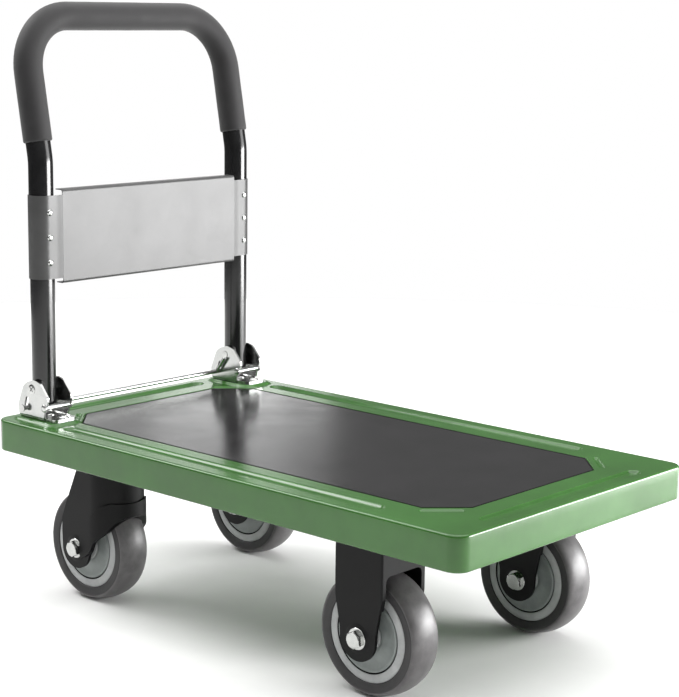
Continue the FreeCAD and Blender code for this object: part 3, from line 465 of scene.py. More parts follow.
# Grid positions from -half to half, close together inside the zones
def gridMarks(half, zones, shape):
    marks = [-half]
    while marks[-1] < half - 1e-6:
        here = marks[-1]
        fine = any(a - 1e-6 <= here < b - 1e-6 for a, b in zones)
        ahead = [a for a, _ in zones if a > here + 1e-6] + [half]
        step = shape["fineStep"] if fine else min(shape["coarseStep"], min(ahead) - here)
        marks.append(min(here + step, half))
    return marks


# Offsets (outwards, down) of the rings from the top's rim round the skirt to its lip
def skirtRings(shape, skirt):
    edge, bend = shape["edge"], shape["bottomBend"]
    top = [pi / 12 * k for k in range(1, 7)]
    foot = [pi / 8 * k for k in range(5)]
    rings = [(edge * sin(t), -edge * (1 - cos(t))) for t in top]
    rings += [(edge, -skirt * share) for share in shape["skirtShares"]]
    rings += [(edge - bend * (1 - cos(t)), -skirt + bend * (1 - sin(t))) for t in foot]
    return rings + [(edge - shape["lip"], -skirt)]


def buildDeck(shape):
    low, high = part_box("deck_pan")
    centreX, halfX, halfY = plan("deck_pan")
    _, matX, matY = plan("load_mat")
    top, bottom = inMm(high[2]) - shape["padRise"], inMm(low[2])
    beads = deckBeads(shape)

    def level(x, y):
        ax, ay = abs(x), abs(y)
        octagon = max(ax - matX, ay - matY, (ax + ay - matX - matY + shape["matCorner"]) / sqrt(2))
        gap = shape["matGap"]
        z = -shape["recess"] * (1 - ease(octagon, gap, gap + shape["recessSlope"]))
        if octagon > 4:
            for a, b, half, floor, depth in beads:
                z -= depth * (1 - ease(segmentDistance(x, y, a, b), floor, half))
            qx = abs(x - shape["padX"]) - shape["padSize"][0] / 2 + shape["padCorner"]
            qy = abs(ay - shape["padY"]) - shape["padSize"][1] / 2 + shape["padCorner"]
            pad = hypot(max(qx, 0), max(qy, 0)) + min(max(qx, qy), 0) - shape["padCorner"]
            z += shape["padRise"] * (1 - ease(pad, 0, shape["padSlope"]))
        return z

    edge = shape["edge"]
    cornerR = shape["corner"] - edge
    innerX, innerY = halfX - edge, halfY - edge
    rear, beadEnds, front = shape["fineX"]
    xs = gridMarks(innerX, [(-innerX, rear), beadEnds, (front, innerX)], shape)
    ys = gridMarks(innerY, [(-innerY, -shape["fineY"]), (shape["fineY"], innerY)], shape)

    def roundOff(x, y):
        cx, cy = abs(x) - (innerX - cornerR), abs(y) - (innerY - cornerR)
        if cx <= 0 or cy <= 0:
            return x, y
        reach = max(cx, cy)
        angle = pi / 4 * (cy / cx) if cx >= cy else pi / 2 - pi / 4 * (cx / cy)
        return (copysign(innerX - cornerR + reach * cos(angle), x),
                copysign(innerY - cornerR + reach * sin(angle), y))

    verts, faces = [], []
    wide = len(ys)
    for gx in xs:
        for gy in ys:
            x, y = roundOff(gx, gy)
            verts.append((mm(centreX + x), mm(y), mm(top + level(x, y))))
    for i in range(len(xs) - 1):
        for j in range(wide - 1):
            k = i * wide + j
            faces.append([k, k + wide, k + wide + 1, k + 1])
    last = len(xs) - 1
    rim = [i * wide for i in range(len(xs))] + [last * wide + j for j in range(1, wide)]
    rim += [i * wide + wide - 1 for i in range(last - 1, -1, -1)] + list(range(wide - 2, 0, -1))
    outward = []
    for k in rim:
        x, y = inMm(verts[k][0]) - centreX, inMm(verts[k][1])
        corner = Vector((max(abs(x) - innerX + cornerR, 0), max(abs(y) - innerY + cornerR, 0)))
        if min(corner) < 1e-3:
            corner = Vector((1, 0)) if corner.x > corner.y else Vector((0, 1))
        corner.normalize()
        outward.append((copysign(corner.x, x), copysign(corner.y, y)))
    before = rim
    for spread, drop in skirtRings(shape, top - bottom):
        ring = []
        for k, (nx, ny) in zip(rim, outward):
            ring.append(len(verts))
            verts.append((verts[k][0] + mm(spread * nx), verts[k][1] + mm(spread * ny), mm(top + drop)))
        for k in range(len(rim)):
            after = (k + 1) % len(rim)
            faces.append([before[k], ring[k], ring[after], before[after]])
        before = ring
    deck = newPiece("deckShell", verts, faces)
    if sum(face.normal.z for face in deck.data.polygons[:200]) < 0:
        deck.data.flip_normals()
    deck = smooth(thicken(deck, shape["sheet"]), 50)
    return fit(deck, "deck", "green_paint", "deck_pan")


# Dead black ring in the gap round the mat: a painted shadow for the shaded gap
def buildMatGapShadow(shape):
    centreX, x, y = plan("load_mat")
    cut = shape["matCorner"]
    loops = []
    for grow in (shape["gapShadowOut"], -shape["gapShadowIn"]):
        a, b, c = x + grow, y + grow, cut + grow * (2 - sqrt(2))
        loops.append([(a - c, -b), (a, c - b), (a, b - c), (a - c, b),
                      (c - a, b), (-a, b - c), (-a, c - b), (c - a, -b)])
    top, centre = inMm(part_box("load_mat")[1][2]), (mm(centreX), 0, 0)
    shadowRing = prism("matGapShadow", loops[0], "z", top - shape["gapShadowDepth"], top + shape["gapShadowRise"], centre)
    carve(shadowRing, [prism("middle", loops[1], "z", top - 5, top + 5, centre)])
    # painted shadow: the black ring colours the shade in the gap round the mat
    return fit(soften(shadowRing, shape["gapShadowEdge"]), "deck", "mat_rubber", finish="gapShadowBlack")


buildDeck(deckShape)
buildMatGapShadow(deckShape)
print("deck done")


handleShape = {
    "tube": 16, "wall": 1.8, "kinkZ": 578, "kinkRadius": 90, "lean": 10.6, "leanLength": 187, "bend": 74,
    "grip": 18.8, "gripStart": 24, "gripHem": 2.4, "gripRipple": 0.14, "notchLean": 15.6, "notch": 3.6,
    "rodTravel": 13, "heelMarks": (0, 6, 20, 60, 120, 180, 240, 280), "kinkMarks": (25, 50, 80),
    "barHalf": 90, "gripThin": 0.3, "gripStep": 6}


# Centre line from the left end over the top to the right end, in metres
def handlePath(shape, start):
    x, foot = inMm(middle("pivot_pin_left").x), inMm(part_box("handle_tube")[0][2])
    lean = radians(shape["lean"])
    ahead = Vector((-sin(lean), 0, cos(lean)))
    kink = Vector((x, 0, shape["kinkZ"]))
    crown = kink + ahead * shape["leanLength"]
    side = []
    if start == "heel":
        side += [Vector((x, 0, foot + t)) for t in shape["heelMarks"]]
        reach = shape["kinkRadius"] * tan(lean / 2)
        begin = kink - Vector((0, 0, reach))
        for k in range(7):
            turn = lean * k / 6
            side.append(begin + Vector((-(1 - cos(turn)), 0, sin(turn))) * shape["kinkRadius"])
        side += [kink + ahead * t for t in shape["kinkMarks"]]
    else:
        hem = shape["gripStart"]
        side += [kink + ahead * (hem + t) for t in (0, 0.5, 1.2, shape["gripHem"], 6)]
        side += [kink + ahead * t for t in range(36, 108, shape["gripStep"])]
    shoulder = crown - ahead * shape["bend"]
    bend = []
    for k in range(19):
        turn = pi / 2 * k / 18
        bend.append(shoulder + ahead * (shape["bend"] * sin(turn))
                    + Vector((0, -(1 - cos(turn)) * shape["bend"], 0)))
    left = [point + Vector((0, tubeReach(), 0)) for point in side + bend]
    bar = [Vector((crown.x, y, crown.z)) for y in range(shape["barHalf"], -shape["barHalf"] - 1, -10)]
    right = [Vector((point.x, -point.y, point.z)) for point in left[::-1]]
    return [point * mm(1) for point in left + bar + right]


def buildTube(shape):
    path = handlePath(shape, "heel")
    tube = sweep("handleTube", path, [shape["tube"]] * len(path), 64, inside=shape["wall"])
    lean = radians(shape["notchLean"])
    rod = middle("rod_cap_left")
    along = Vector((sin(lean), 0, cos(lean)))
    sideways = Vector((cos(lean), 0, -sin(lean)))
    cutters = []
    for _, sign in sides:
        y = sign * tubeReach()
        low = inMm(Vector((rod.x, 0, rod.z)))
        high = low + along * shape["rodTravel"]
        half = sideways * shape["notch"]
        tip = [high + sideways * shape["notch"] * cos(pi * k / 8)
               + along * shape["notch"] * sin(pi * k / 8) for k in range(9)]
        loop = [(low + half), *tip, (low - half)]
        cutters.append(prism("notch", [(p.x, p.z) for p in loop], "y", y - 26, y + 26))
    carve(tube, cutters)
    return fit(smooth(tube, 40), "handle", "black_tube", "handle_tube")


def buildGrip(shape):
    path = handlePath(shape, "grip")
    full, thin = shape["grip"], shape["tube"] + shape["gripThin"]
    radii = [full + shape["gripRipple"] * noise.noise(point * 60) for point in path]
    for k, share in enumerate((0.0, 0.55, 0.85, 1.0)):
        for index in (k, len(path) - 1 - k):
            radii[index] = thin + (full - thin) * share
    grip = sweep("gripSleeve", path, radii, 64)
    return fit(smooth(grip, 60), "handle", "grip_foam", "grip_sleeve")


panelShape = {
    "wall": 1.2, "height": 123.4, "flange": 109, "half": 155.5, "step": 0.9, "gap": 0.15, "return": 14,
    "fold": 3, "wrap": 150, "joggle": 14, "joggleSteps": 6, "edge": 0.3, "rivet": 4.4, "rivetRise": 2.0,
    "rivetPitch": 32.7}


# Folded sheet: a path of (a, b) in mm thickened by wall and run along an axis
def sheetStrip(name, path, wall, axis, low, high):
    left, right = [], []
    for i, point in enumerate(path):
        ahead = Vector(path[min(i + 1, len(path) - 1)]) - Vector(path[max(i - 1, 0)])
        normal = Vector((-ahead.y, ahead.x)).normalized() * wall / 2
        left.append(Vector(point) + normal)
        right.append(Vector(point) - normal)
    return prism(name, left + right[::-1], axis, low, high)


# A sheet with folded edges, and a wing at each side that runs round the tube
def buildPanel(shape):
    low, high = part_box("back_panel")
    midZ = inMm(low[2] + high[2]) / 2
    tubeX, tubeY = inMm(middle("pivot_pin_left").x), tubeReach()
    tall = shape["height"] / 2 - shape["wall"] / 2
    inner = tubeX + handleShape["tube"] + shape["gap"] + shape["wall"] / 2
    front = inner + shape["step"]
    back = front + shape["wall"] / 2 - shape["return"]
    fold = shape["fold"]
    path = [(back, midZ - tall), (front - fold, midZ - tall)]
    path += arc((front - fold, midZ - tall + fold), fold, -90, 0, 6)[1:]
    path += [(front, midZ + k) for k in range(-40, 41, 20)]
    path += arc((front - fold, midZ + tall - fold), fold, 0, 90, 6)
    path += [(back, midZ + tall)]
    panel = sheetStrip("backPanel", path, shape["wall"], "y", -shape["half"], shape["half"])
    radius = inner - tubeX
    wings = []
    for _, sign in sides:
        start, run, steps = shape["half"] - 3, shape["joggle"], shape["joggleSteps"]
        route = [(front, start - 5), (front, start)]
        route += [(front - (front - inner) * ease(k, 0, steps), start + run * k / steps)
                  for k in range(1, steps + 1)]
        route += arc((tubeX, tubeY), radius, 0, shape["wrap"], shape["wrap"] // 6)
        route = [(x, sign * y) for x, y in route]
        wings.append(sheetStrip("wing", route, shape["wall"], "z", midZ - shape["flange"] / 2,
                                midZ + shape["flange"] / 2))
    carve(panel, wings, "UNION")
    return fit(soften(panel, shape["edge"]), "handle", "grey_sheet", "back_panel")


def buildRivets(shape):
    face = inMm(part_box("panel_rivets")[0][0])
    midZ = inMm(middle("back_panel").z)
    y = tubeReach()
    r, rise = shape["rivet"], shape["rivetRise"]
    profile = [(r, -0.4), (r, 0.25), (r * 0.93, 0.7), (r * 0.75, rise * 0.72), (r * 0.45, rise * 0.93),
               (0, rise)]
    heads = []
    for _, sign in sides:
        for row in (-1, 0, 1):
            spot = Vector((face, sign * y, midZ + row * shape["rivetPitch"])) * mm(1)
            heads.append(spin("rivet", profile, "x", spot, 28))
    rivets = smooth(join("panelRivets", heads), 60)
    return fit(rivets, "handle", "zinc", "panel_rivets")


buildTube(handleShape)
buildGrip(handleShape)
buildPanel(panelShape)
buildRivets(panelShape)
print("handle done")


hingeShape = {
    "span": 42, "wall": 3, "bend": 4.5, "baseTop": 243.5, "baseFoot": 239.5, "baseX": (-29, 44),
    "cheek": [(-24, -40), (23, -40), (26, -27), (32, -14), (32, -7), (17, 10), (4, 13), (-9, 9), (-18, 3),
    (-29, -23), (-28, -35)], "cheekRound": [2, 2, 6, 8, 5, 10, 8, 10, 12, 8, 5], "slot": (-13.5, -26.5),
    "slotLean": 15.6, "travel": 13, "slotHalf": 3.3, "pinHead": 6.5, "pinRise": 0.9, "pinBar": 4,
    "mark": (4.4, 0.7, 1.6), "stopHead": 5, "stopRise": 2.0, "stopBar": 3, "stop": (25.5, -22),
    "pinHole": 4.1, "stopHole": 3.1, "innerBend": 1.8, "tongueInset": 2.5, "tongueRound": [2, 7, 7, 2],
    "edge": 0.45, "boltInset": 8, "nut": (13, 6.2)}


def slotLoop(shape):
    lean = radians(shape["slotLean"])
    start = Vector(shape["slot"])
    end = start + Vector((sin(lean), cos(lean))) * shape["travel"]
    tilt = 90 - shape["slotLean"]
    return (arc(end, shape["slotHalf"], tilt - 90, tilt + 90, 10)
            + arc(start, shape["slotHalf"], tilt + 90, tilt + 270, 10))


def buildBracket(side, sign, shape):
    pivot = middle("pivot_bush_" + side)
    centre = Vector((pivot.x, sign * abs(pivot.y), pivot.z))
    half, wall = shape["span"] / 2, shape["wall"]
    foot, floor = shape["baseFoot"] - inMm(centre.z), shape["baseTop"] - inMm(centre.z)
    outline = [(x, max(z, foot)) for x, z in shape["cheek"]]
    bracket = prism("bracket_" + side, roundLoop(outline, shape["cheekRound"]), "y", -half, half, centre)
    bend, fold = shape["bend"], shape["innerBend"]
    cross = boxLoop(half, foot, 40, [bend, bend, 0, 0], 8)
    carve(bracket, [prism("shape", cross, "x", -60, 60, centre)], "INTERSECT")
    hollow = boxLoop(half - wall, floor, 60, [fold, fold, 0, 0], 6)
    (rear, front), reach = shape["baseX"], half - shape["tongueInset"]
    base = roundLoop([(rear, -reach), (front, -reach), (front, reach), (rear, reach)], shape["tongueRound"])
    tongue = prism("tongue", base, "z", foot, floor, centre)
    pinHole = arc((0, 0), shape["pinHole"], 0, 345, 23)
    stopHole = arc(shape["stop"], shape["stopHole"], 0, 340, 17)
    carve(bracket, [prism("hollow", hollow, "x", -70, 70, centre)])
    carve(bracket, [tongue], "UNION")
    holes = (pinHole, stopHole, slotLoop(shape))
    carve(bracket, [prism("hole", loop, "y", -40, 40, centre) for loop in holes])
    soften(bracket, shape["edge"], 2, 40)
    return fit(bracket, "deck", "zinc", "hinge_bracket_" + side)


# Profile of a pressed-over head, from the bar outwards
def stakedHead(radius, rise, inward):
    return [(inward, 0), (radius, 0), (radius, rise * 0.45), (radius * 0.88, rise * 0.8),
            (radius * 0.6, rise), (0, rise)]


def buildStopBar(side, shape):
    centre = middle("stop_bar_" + side)
    half = shape["span"] / 2
    head = stakedHead(shape["stopHead"], shape["stopRise"], shape["stopBar"])
    profile = [(r, -half - h) for r, h in head[::-1]] + [(r, half + h) for r, h in head]
    bar = smooth(spin("stopBar_" + side, profile, "y", centre, 40))
    return fit(bar, "deck", "zinc", "stop_bar_" + side)


# Pivot pin with a crossed stake mark in its outer head
def buildPin(side, sign, shape):
    centre = middle("pivot_bush_" + side)
    half = shape["span"] / 2
    outer = stakedHead(shape["pinHead"], shape["pinRise"], shape["pinBar"])
    inner = [(shape["pinBar"], 0), (shape["pinHead"] * 0.8, 0), (shape["pinHead"] * 0.8, 0.7), (0, 0.95)]
    profile = [(r, -half - h) for r, h in inner[::-1]] + [(r, half + h) for r, h in outer]
    profile = flip(profile, sign)
    pin = spin("pivotPin_" + side, profile, "y", centre, 40)
    long, thick, deep = shape["mark"]
    marks = []
    for turn in (45, -45):
        bar = prism("mark", boxLoop(long, half - deep, half + 6), "z", -thick, thick)
        bar.data.transform(Matrix.Rotation(radians(turn), 4, "Y"))
        bar.data.transform(Matrix.Diagonal((1, sign, 1, 1)))
        bar.data.transform(Matrix.Translation(centre))
        if sign < 0:
            bar.data.flip_normals()
        marks.append(bar)
    carve(pin, marks)
    return fit(smooth(pin, 30), "deck", "zinc", "pivot_pin_" + side)


def buildCarriageBolts(side, shape):
    low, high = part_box("bracket_bolts_" + side)
    y = (low[1] + high[1]) / 2
    base = mm(shape["baseTop"])
    parts = []
    for x in (low[0] + mm(shape["boltInset"]), high[0] - mm(shape["boltInset"])):
        spot = Vector((x, y, base))
        dome = [(4, -1), (8, 0), (8, 0.5), (7.4, 1.5), (6, 2.5), (4, 3.2), (2, 3.5), (0, 3.6)]
        parts.append(spin("dome", dome, "z", spot, 40, 60))
        shank = [(0, -16.4), (3.4, -16.4), (4, -15.6), (4, -1)]
        parts.append(spin("shank", shank, "z", spot, 24, 38))
        parts.append(spin("washer", [(4.2, -7.2), (8, -7.2), (8, -5.7), (4.2, -5.7)], "z", spot, 32, 38))
        parts.append(hexagon("nut", *shape["nut"], "z", spot, -7.2, -1))
    bolts = join("carriageBolts_" + side, parts)
    return fit(bolts, "deck", "zinc", "bracket_bolts_" + side)


for side, sign in sides:
    buildBracket(side, sign, hingeShape)
    buildStopBar(side, hingeShape)
    buildPin(side, sign, hingeShape)
    buildCarriageBolts(side, hingeShape)
print("hinges done")


wheelShape = {
    "crown": 75, "shoulder": 67.4, "rim": 56.6, "rimInner": 46, "disc": 44.2, "boss": 19, "bearing": 12,
    "axle": 6.05, "crownSteps": 14, "crownPower": 1.12, "web": 9}


# Half tyre section from the rim to the crown, as (radius, distance from the middle)
def treadProfile(shape, half):
    rim, shoulder = shape["rim"], shape["shoulder"]
    section = [(rim, half - 2.6), (rim + 0.4, half - 1.6), (rim + 1.6, half - 1.0),
               (shoulder - 3.4, half - 0.5), (shoulder - 1.6, half - 0.25),
               (shoulder - 0.7, half - 0.3), (shoulder - 0.4, half - 0.65),
               (shoulder + 0.1, half - 0.65), (shoulder + 0.6, half - 0.4)]
    radius, side = section[-1]
    for k in range(1, shape["crownSteps"] + 1):
        turn = pi / 2 * k / shape["crownSteps"]
        section.append((radius + (shape["crown"] - radius) * sin(turn),
                        side * cos(turn) ** shape["crownPower"]))
    return section


# Full ring profile from its half
def mirrored(profile):
    whole = profile + flip(profile[::-1], -1)
    return whole + [whole[0]]


# Second material between two distances from the wheel's axis, in mm
def shade(piece, centre, first, second, low, high):
    piece.data.materials.append(made[first])
    piece.data.materials.append(made[second])
    for face in piece.data.polygons:
        spot = face.center - centre
        face.material_index = int(mm(low) < hypot(spot.x, spot.z) < mm(high))


def buildWheel(tag, shape):
    centre = middle("tyre_" + tag)
    body = "wheel_" + tag
    section = treadProfile(shape, plan("tyre_" + tag)[2])
    profile = flip(section, -1) + section[-2::-1]
    profile.append(profile[0])
    tyre = spin("tyre_" + tag + "_body", profile, "y", centre, 160)
    shade(tyre, centre, "treadRubber", "sidewallRubber", 0, shape["shoulder"] + 0.2)
    fit(smooth(tyre, 48), body, "tyre_rubber", "tyre_" + tag)

    rim, inner, boss, bearing = shape["rim"], shape["rimInner"], shape["boss"], shape["bearing"]
    side = plan("rim_" + tag)[2]
    profile = [(bearing, side), (boss - 1, side), (boss, side - 1), (boss + 0.6, shape["web"]),
               (inner - 1.3, shape["web"] - 0.5), (inner - 0.6, side - 3.2), (inner, side - 0.6),
               (inner + 0.8, side - 0.1), (inner + 2, side),
               (rim - 3, side - 0.1), (rim - 1, side - 0.5), (rim, side - 1.6)]
    hub = spin("rim_" + tag + "_hub", mirrored(profile), "y", centre, 128)
    # painted shade: the web between boss and rim, seen only in the gap round the disc, is coloured dark
    shade(hub, centre, "rimPolymer", "grooveShade", boss + 0.4, inner - 0.2)
    fit(smooth(hub, 40), body, "rim_plastic", "rim_" + tag)

    covers = []
    disc = shape["disc"]
    for sign in (1, -1):
        profile = [(boss + 0.2, side - 4), (boss + 0.2, side - 2.6), (boss + 1.2, side - 2.2),
                   (23, side - 2.1), (24, side - 2.7), (disc - 9, side - 2.5), (disc - 4, side - 1.2),
                   (disc - 1.4, side - 0.3), (disc - 0.4, side - 0.6), (disc, side - 1.3),
                   (disc, side - 2.4), (30, side - 4.2), (boss + 0.2, side - 4)]
        covers.append(spin("cover", flip(profile, sign), "y", centre, 128, 50))
    fit(join("disc_" + tag + "_covers", covers), body, "disc_plastic", "disc_" + tag)

    axle, proud = shape["axle"], plan("bearing_" + tag)[2]
    profile = [(axle, proud), (8.2, proud), (8.6, proud - 0.4), (10.8, proud - 0.4), (11.2, proud),
               (bearing, proud - 0.1), (bearing, side)]
    ring = spin("bearing_" + tag + "_ring", mirrored(profile), "y", centre, 48, 30)
    fit(ring, body, "bearing_steel", "bearing_" + tag)


axleShape = {"shank": 6, "end": 9.8, "washer": 13, "washerWall": 1.6, "flats": 19, "head": 7, "nut": 6.6}


# Hex bolt, washers, spacers and a nut on a short run of thread
def buildAxleBolt(tag, body, leg, shape):
    centre = middle("axle_bolt_" + tag)
    shank, end = shape["shank"], leg + shape["end"]
    bar = [(0, -leg - 2), (shank, -leg - 2), (shank, end - 0.8), (shank - 0.8, end), (0, end)]
    parts = [spin("shank", bar, "y", centre, 32)]
    wide, wall, flats = shape["washer"], shape["washerWall"], shape["flats"]
    for sign in (1, -1):
        washer = [(6.2, leg), (wide - 0.4, leg), (wide, leg + 0.4), (wide, leg + wall - 0.4),
                  (wide - 0.4, leg + wall), (6.2, leg + wall)]
        parts.append(spin("washer", flip(washer, sign), "y", centre, 40))
        spacer = [(6.3, 22.8), (8.8, 22.8), (9, 23.1), (9, leg - 4.1), (6.3, leg - 4.1), (6.3, 22.8)]
        parts.append(spin("spacer", flip(spacer, sign), "y", centre, 32))
    parts.append(hexagon("head", flats, shape["head"], "y", centre, -leg - wall, -1))
    parts.append(hexagon("nut", flats, shape["nut"], "y", centre, leg + wall, 1))
    bolt = join("axleBolt_" + tag, [smooth(part, 25) for part in parts])
    return fit(bolt, body, "zinc", "axle_bolt_" + tag)


# Heights are above the floor, the rest is from the caster's middle
forkShape = {
    "plate": (106, 92, 4), "plateZ": 192, "plateCorner": 10, "plateEdge": 0.7, "holes": (44, 37), "hole": 4.4,
    "axleZ": 75, "foot": 27, "footRound": (16, 10), "wall": 4, "edge": 0.9, "archZ": 153.5, "archCorner": 9,
    "boss": 17, "bandRise": 2.6, "bandRound": 12, "bandEdge": 1.1, "tail": -70, "cutZ": 20, "cutX": 90,
    "rigid": {"leg": 38, "top": 192, "wide": 36, "return": 7, "bend": 2.5, "seam": 3,
              "rear": [(-36, 200), (-36, 128), (-27, 84)], "front": [(27, 84), (36, 128), (36, 200)]},
    "swivel": {"leg": 40, "top": 184, "webX": -26,
               "rear": [(-26, 184), (-38, 157), (-49, 133), (-57, 112), (-57.5, 96)],
               "front": [(1, 76), (7, 90), (24, 104.5), (36, 121), (48, 127), (48, 190), (-26, 190)],
               "band": [(-20, 60), (1, 76), (7, 90), (24, 104.5), (36, 121), (48, 127), (48, 142), (30, 144),
                        (14, 138), (-4, 119), (-20, 98)]}}


# Centre of a caster on the floor, from one of its nodes
def casterCentre(node):
    spot = middle(node)
    return Vector((spot.x, spot.y, 0))


def boltHoles(shape):
    x, y = shape["holes"]
    return [(sx * x, sy * y) for sx in (1, -1) for sy in (1, -1)]


def mountPlate(shape, centre):
    x, y, wall = shape["plate"]
    outline = boxLoop(x / 2, -y / 2, y / 2, shape["plateCorner"])
    plate = prism("plate", outline, "z", shape["plateZ"], shape["plateZ"] + wall, centre)
    carve(plate, [prism("hole", arc(spot, shape["hole"], 0, 340, 17), "z", 180, 200, centre)
                  for spot in boltHoles(shape)])
    return soften(plate, shape["plateEdge"], 2, 40)


# Plan of a fork with a half-round front
def hoodLoop(radius, rear):
    return [(rear, -radius), *arc((0, 0), radius, -90, 90, 40), (rear, radius)]


# Folded sleeve with an arch front and back and rounded feet
def buildFork(tag, kind, body, shape):
    form = shape[kind]
    axle = middle("axle_bolt_" + tag)
    centre = casterCentre("plate_bolts_" + tag)
    trail = inMm(axle.x - centre.x)
    leg, wall, top = form["leg"], shape["wall"], form["top"]
    inner = leg - wall
    foot = arc((trail, shape["axleZ"]), shape["foot"], 190, 350, 24)
    rearRound, frontRound = shape["footRound"]
    rounds = [0] + [rearRound] * (len(form["rear"]) - 1) + [0] * len(foot)
    rounds += [frontRound] * (len(form["front"]) - 1) + [0]
    side = roundLoop(form["rear"] + foot + form["front"], rounds, 6)
    low, wideCut = shape["cutZ"], shape["cutX"]
    archRound = [0, 0, shape["archCorner"], shape["archCorner"]]
    if kind == "rigid":
        wide = form["wide"]
        sleeve = boxLoop(wide, -leg, leg, form["bend"])
        inside = boxLoop(wide - form["seam"], -inner, inner)
        hollow = prism("hollow", inside, "z", low, top + 5, centre)
        opening = boxLoop(leg - form["return"], low, shape["archZ"], archRound, 8)
        arch = prism("arch", opening, "x", -wideCut, wideCut, centre)
    else:
        sleeve = hoodLoop(leg, shape["tail"])
        hollow = prism("hollow", hoodLoop(inner, form["webX"] + 3), "z", low, top - wall, centre)
        opening = boxLoop(inner, low, shape["archZ"] + 2, archRound, 8)
        arch = prism("arch", opening, "x", -wideCut, form["webX"] + 5, centre)
    fork = prism("fork_" + tag + "_stamping", sleeve, "z", 40, top, centre)
    carve(fork, [prism("side", side, "y", -60, 60, centre)], "INTERSECT")
    carve(fork, [hollow, arch])
    parts = [soften(fork, shape["edge"], 2, 40)]
    if kind == "swivel":  # a raised band follows the lower edge
        band = prism("band", hoodLoop(leg + shape["bandRise"], shape["tail"]), "z", 40, top, centre)
        outline = roundLoop(form["band"], shape["bandRound"], 6)
        carve(band, [prism("side", outline, "y", -60, 60, centre)], "INTERSECT")
        carve(band, [prism("hollow", hoodLoop(leg - 1, shape["tail"] - 10), "z", low, 200, centre)])
        parts.append(soften(band, shape["bandEdge"], 3, 30))
    spot = Vector((axle.x, axle.y, mm(shape["axleZ"])))
    for sign in (1, -1):
        boss = [(6.3, leg + 0.05), (shape["boss"] + 1, leg + 0.05), (shape["boss"] + 3.4, leg - 0.8),
                (6.3, leg - 0.8), (6.3, leg + 0.05)]
        parts.append(spin("boss", flip(boss, sign), "y", spot, 48, 30))
    if kind == "rigid":
        parts.append(mountPlate(shape, centre))
    else:
        cup = [(6.2, 184), (30, 184), (36, 183.7), (40, 182.4), (41, 180.4), (41, 179), (39.5, 178.4),
               (6.2, 178.9), (6.2, 184)]
        parts.append(spin("cup", cup, "z", centre, 72, 50))
    whole = join("fork_" + tag + "_steel", parts)
    return fit(whole, body, "black_steel", "fork_" + tag)


def buildSwivelPlate(side, shape):
    centre = casterCentre("swivel_plate_" + side)
    race = [(6.2, 184.5), (24, 184.5), (27, 185.4), (31.5, 184.6), (33, 185.4), (33.4, 187.5), (32, 189),
            (34, 192.05), (6.2, 192.05)]
    parts = [mountPlate(shape, centre), spin("race", race, "z", centre, 72, 40)]
    fit(join("swivelPlate_" + side, parts), "deck", "black_steel", "swivel_plate_" + side)
    king = [(0, 172.7), (4, 172.8), (7.4, 173.6), (9.4, 175.2), (10, 177.2), (10, 178.5), (6, 178.5),
            (6, 203), (0, 203.8)]
    bolt = spin("shank", king, "z", centre, 40, 50)
    nut = hexagon("nut", axleShape["flats"], axleShape["head"], "z", centre, 196, 1)
    fit(join("kingBolt_" + side, [bolt, nut]), "deck", "zinc", "king_bolt_" + side)


def buildPlateBolts(tag, shape):
    centre = casterCentre("plate_bolts_" + tag)
    under = shape["plateZ"]
    parts = []
    for x, y in boltHoles(shape):
        spot = centre + Vector((mm(x), mm(y), 0))
        parts.append(hexagon("head", 13, 4.2, "z", spot, under - 1, -1))
        washer = [(0, under - 1), (8.2, under - 1), (8.5, under - 0.6), (8.5, under)]
        parts.append(spin("washer", washer, "z", spot, 32, 38))
        shank = [(4, under), (4, 206), (3.4, 206.7), (0, 206.7)]
        parts.append(spin("shank", shank, "z", spot, 20, 38))
        parts.append(hexagon("nut", 13, 6.4, "z", spot, 198.05, 1))
    return fit(join("plateBolts_" + tag, parts), "deck", "zinc", "plate_bolts_" + tag)


for side, _ in sides:
    for end in ("front", "rear"):
        tag = end + "_" + side
        kind = "rigid" if end == "front" else "swivel"
        carrier = "deck" if end == "front" else "swivel_" + side
        buildWheel(tag, wheelShape)
        buildAxleBolt(tag, carrier, forkShape[kind]["leg"], axleShape)
        buildFork(tag, kind, carrier, forkShape)
        buildPlateBolts(tag, forkShape)
    buildSwivelPlate(side, forkShape)
print("casters done")


studio = {
    "floor": ("#ECECEB", "#F2F2F1"), "floorRough": 0.9, "fibre": 40, "reach": 2.6, "floorCorners": 96,
    "sky": "#FFFFFF", "skyShown": 1.0, "skyRise": (0.05, 0.8), "skyLight": (0.10, 0.55),
    # place, aim, width and height in metres, and strength
    "softboxes": [((2.9, 3.0, 1.3), (0, 0, 0.35), (2.6, 2.0), 60),
                  ((1.5, 1.4, 0.36), (0.3, 0, 0.22), (1.5, 0.68), 64),
                  ((0.0, 0.0, 3.6), (0, 0, 0), (5.5, 5.5), 215),
                  ((-2.97, 2.78, 0.92), (-0.25, 0.1, 0.24), (0.62, 0.36), 1.5),
                  ((-3.6, 2.0, 1.3), (-0.25, 0.1, 0.24), (2.4, 1.4), 6.0),
                  ((-2.9, -0.9, 3.0), (0, 0, 0.3), (1.7, 1.7), 80)]}


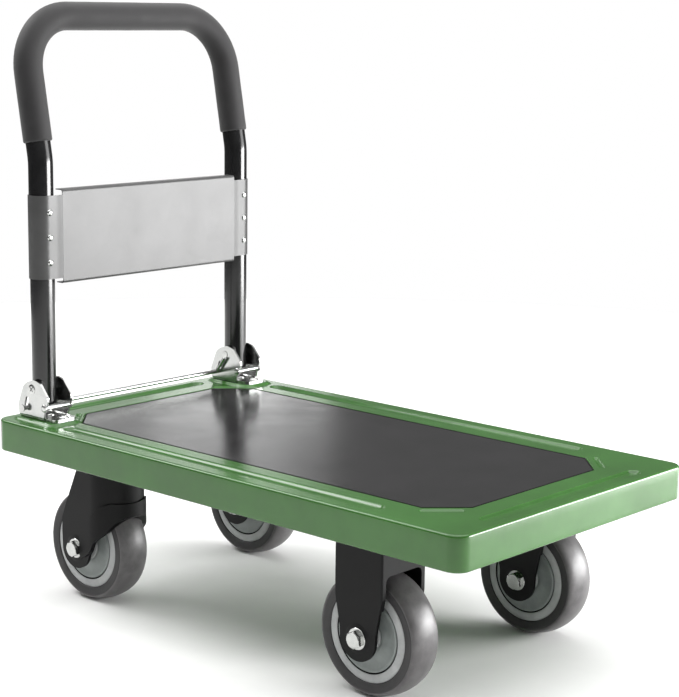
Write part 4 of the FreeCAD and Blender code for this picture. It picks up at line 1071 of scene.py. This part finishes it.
# Plain white behind, and a dome of light, dim at the horizon and brighter above
def buildSky(look):
    world = bpy.data.worlds.new("studioSky")
    world.use_nodes = True
    tree = world.node_tree
    tree.nodes.clear()
    spot = addNode(tree, "TexCoord").outputs["Generated"]
    height = addNode(tree, "SeparateXYZ", {"Vector": spot}).outputs["Z"]
    (riseLow, riseHigh), (dim, bright) = look["skyRise"], look["skyLight"]
    dome = addNode(tree, "MapRange", {"Value": height, "From Min": riseLow, "From Max": riseHigh,
                                      "To Min": dim, "To Max": bright})
    white = linear(look["sky"])
    lit = addNode(tree, "Background", {"Color": white, "Strength": dome.outputs["Result"]})
    shown = addNode(tree, "Background", {"Color": white, "Strength": look["skyShown"]})
    ray = addNode(tree, "LightPath").outputs["Is Camera Ray"]
    both = addNode(tree, "MixShader", {0: ray, 1: lit.outputs["Background"], 2: shown.outputs["Background"]})
    addNode(tree, "OutputWorld", {"Surface": both.outputs["Shader"]})
    scene.world = world


def buildStudio(look):
    reach, corners = look["reach"], look["floorCorners"]
    turns = [2 * pi * k / corners for k in range(corners)]
    rim = [(reach * cos(t), reach * sin(t), 0) for t in turns]
    floor = newPiece("studioFloor", rim, [list(range(corners))])
    paper = bpy.data.materials.new("studioPaper")
    paper.use_nodes = True
    tree = paper.node_tree
    shader = tree.nodes["Principled BSDF"]
    shader.inputs["Roughness"].default_value = look["floorRough"]
    spot = addNode(tree, "TexCoord").outputs["Object"]
    fibre = addNode(tree, "TexNoise", {"Vector": spot, "Scale": 1 / mm(look["fibre"]), "Detail": 3.0})
    dark, light = (linear(text) for text in look["floor"])
    tone = addNode(tree, "Mix", {"Factor": fibre.outputs["Fac"], "A": dark, "B": light},
                   data_type="RGBA")
    tree.links.new(tone.outputs[2], shader.inputs["Base Color"])
    floor.data.materials.append(paper)
    for place, aim, size, power in look["softboxes"]:
        lamp = bpy.data.lights.new("softbox", "AREA")
        lamp.shape = "RECTANGLE"
        lamp.size, lamp.size_y = size
        lamp.energy = power
        box = addObject("softbox", lamp)
        box.location = place
        box.rotation_euler = (Vector(aim) - Vector(place)).to_track_quat("-Z", "Y").to_euler()
        box.visible_camera = False


camera = {
    "place": (1.5349, -1.6625, 0.7808), "yaw": 0.7250, "pitch": 0.1847, "roll": 0.0150, "focal": 1822.5,
    "centre": (362.8, 346.3), "frame": (679, 697), "sensor": 36, "reach": 50}


def buildCamera(look):
    yaw, pitch, roll = look["yaw"], look["pitch"], look["roll"]
    ahead = Vector((-sin(yaw) * cos(pitch), cos(yaw) * cos(pitch), -sin(pitch)))
    right = Vector((cos(yaw), sin(yaw), 0))
    up = right.cross(ahead)
    tiltedRight = right * cos(roll) + up * sin(roll)
    tiltedUp = up * cos(roll) - right * sin(roll)
    wide, tall = look["frame"]
    lens = bpy.data.cameras.new("camera")
    lens.sensor_width = look["sensor"]
    lens.lens = look["focal"] / max(wide, tall) * lens.sensor_width
    lens.shift_x = (wide / 2 - look["centre"][0]) / max(wide, tall)
    lens.shift_y = (look["centre"][1] - tall / 2) / max(wide, tall)
    lens.clip_end = look["reach"]
    rig = addObject("camera", lens)
    turned = Matrix((tiltedRight, tiltedUp, -ahead)).transposed()
    rig.matrix_world = Matrix.Translation(look["place"]) @ turned.to_4x4()
    scene.camera = rig


buildSky(studio)
buildStudio(studio)
buildCamera(camera)
scene.view_settings.view_transform = "Standard"
print("studio done")
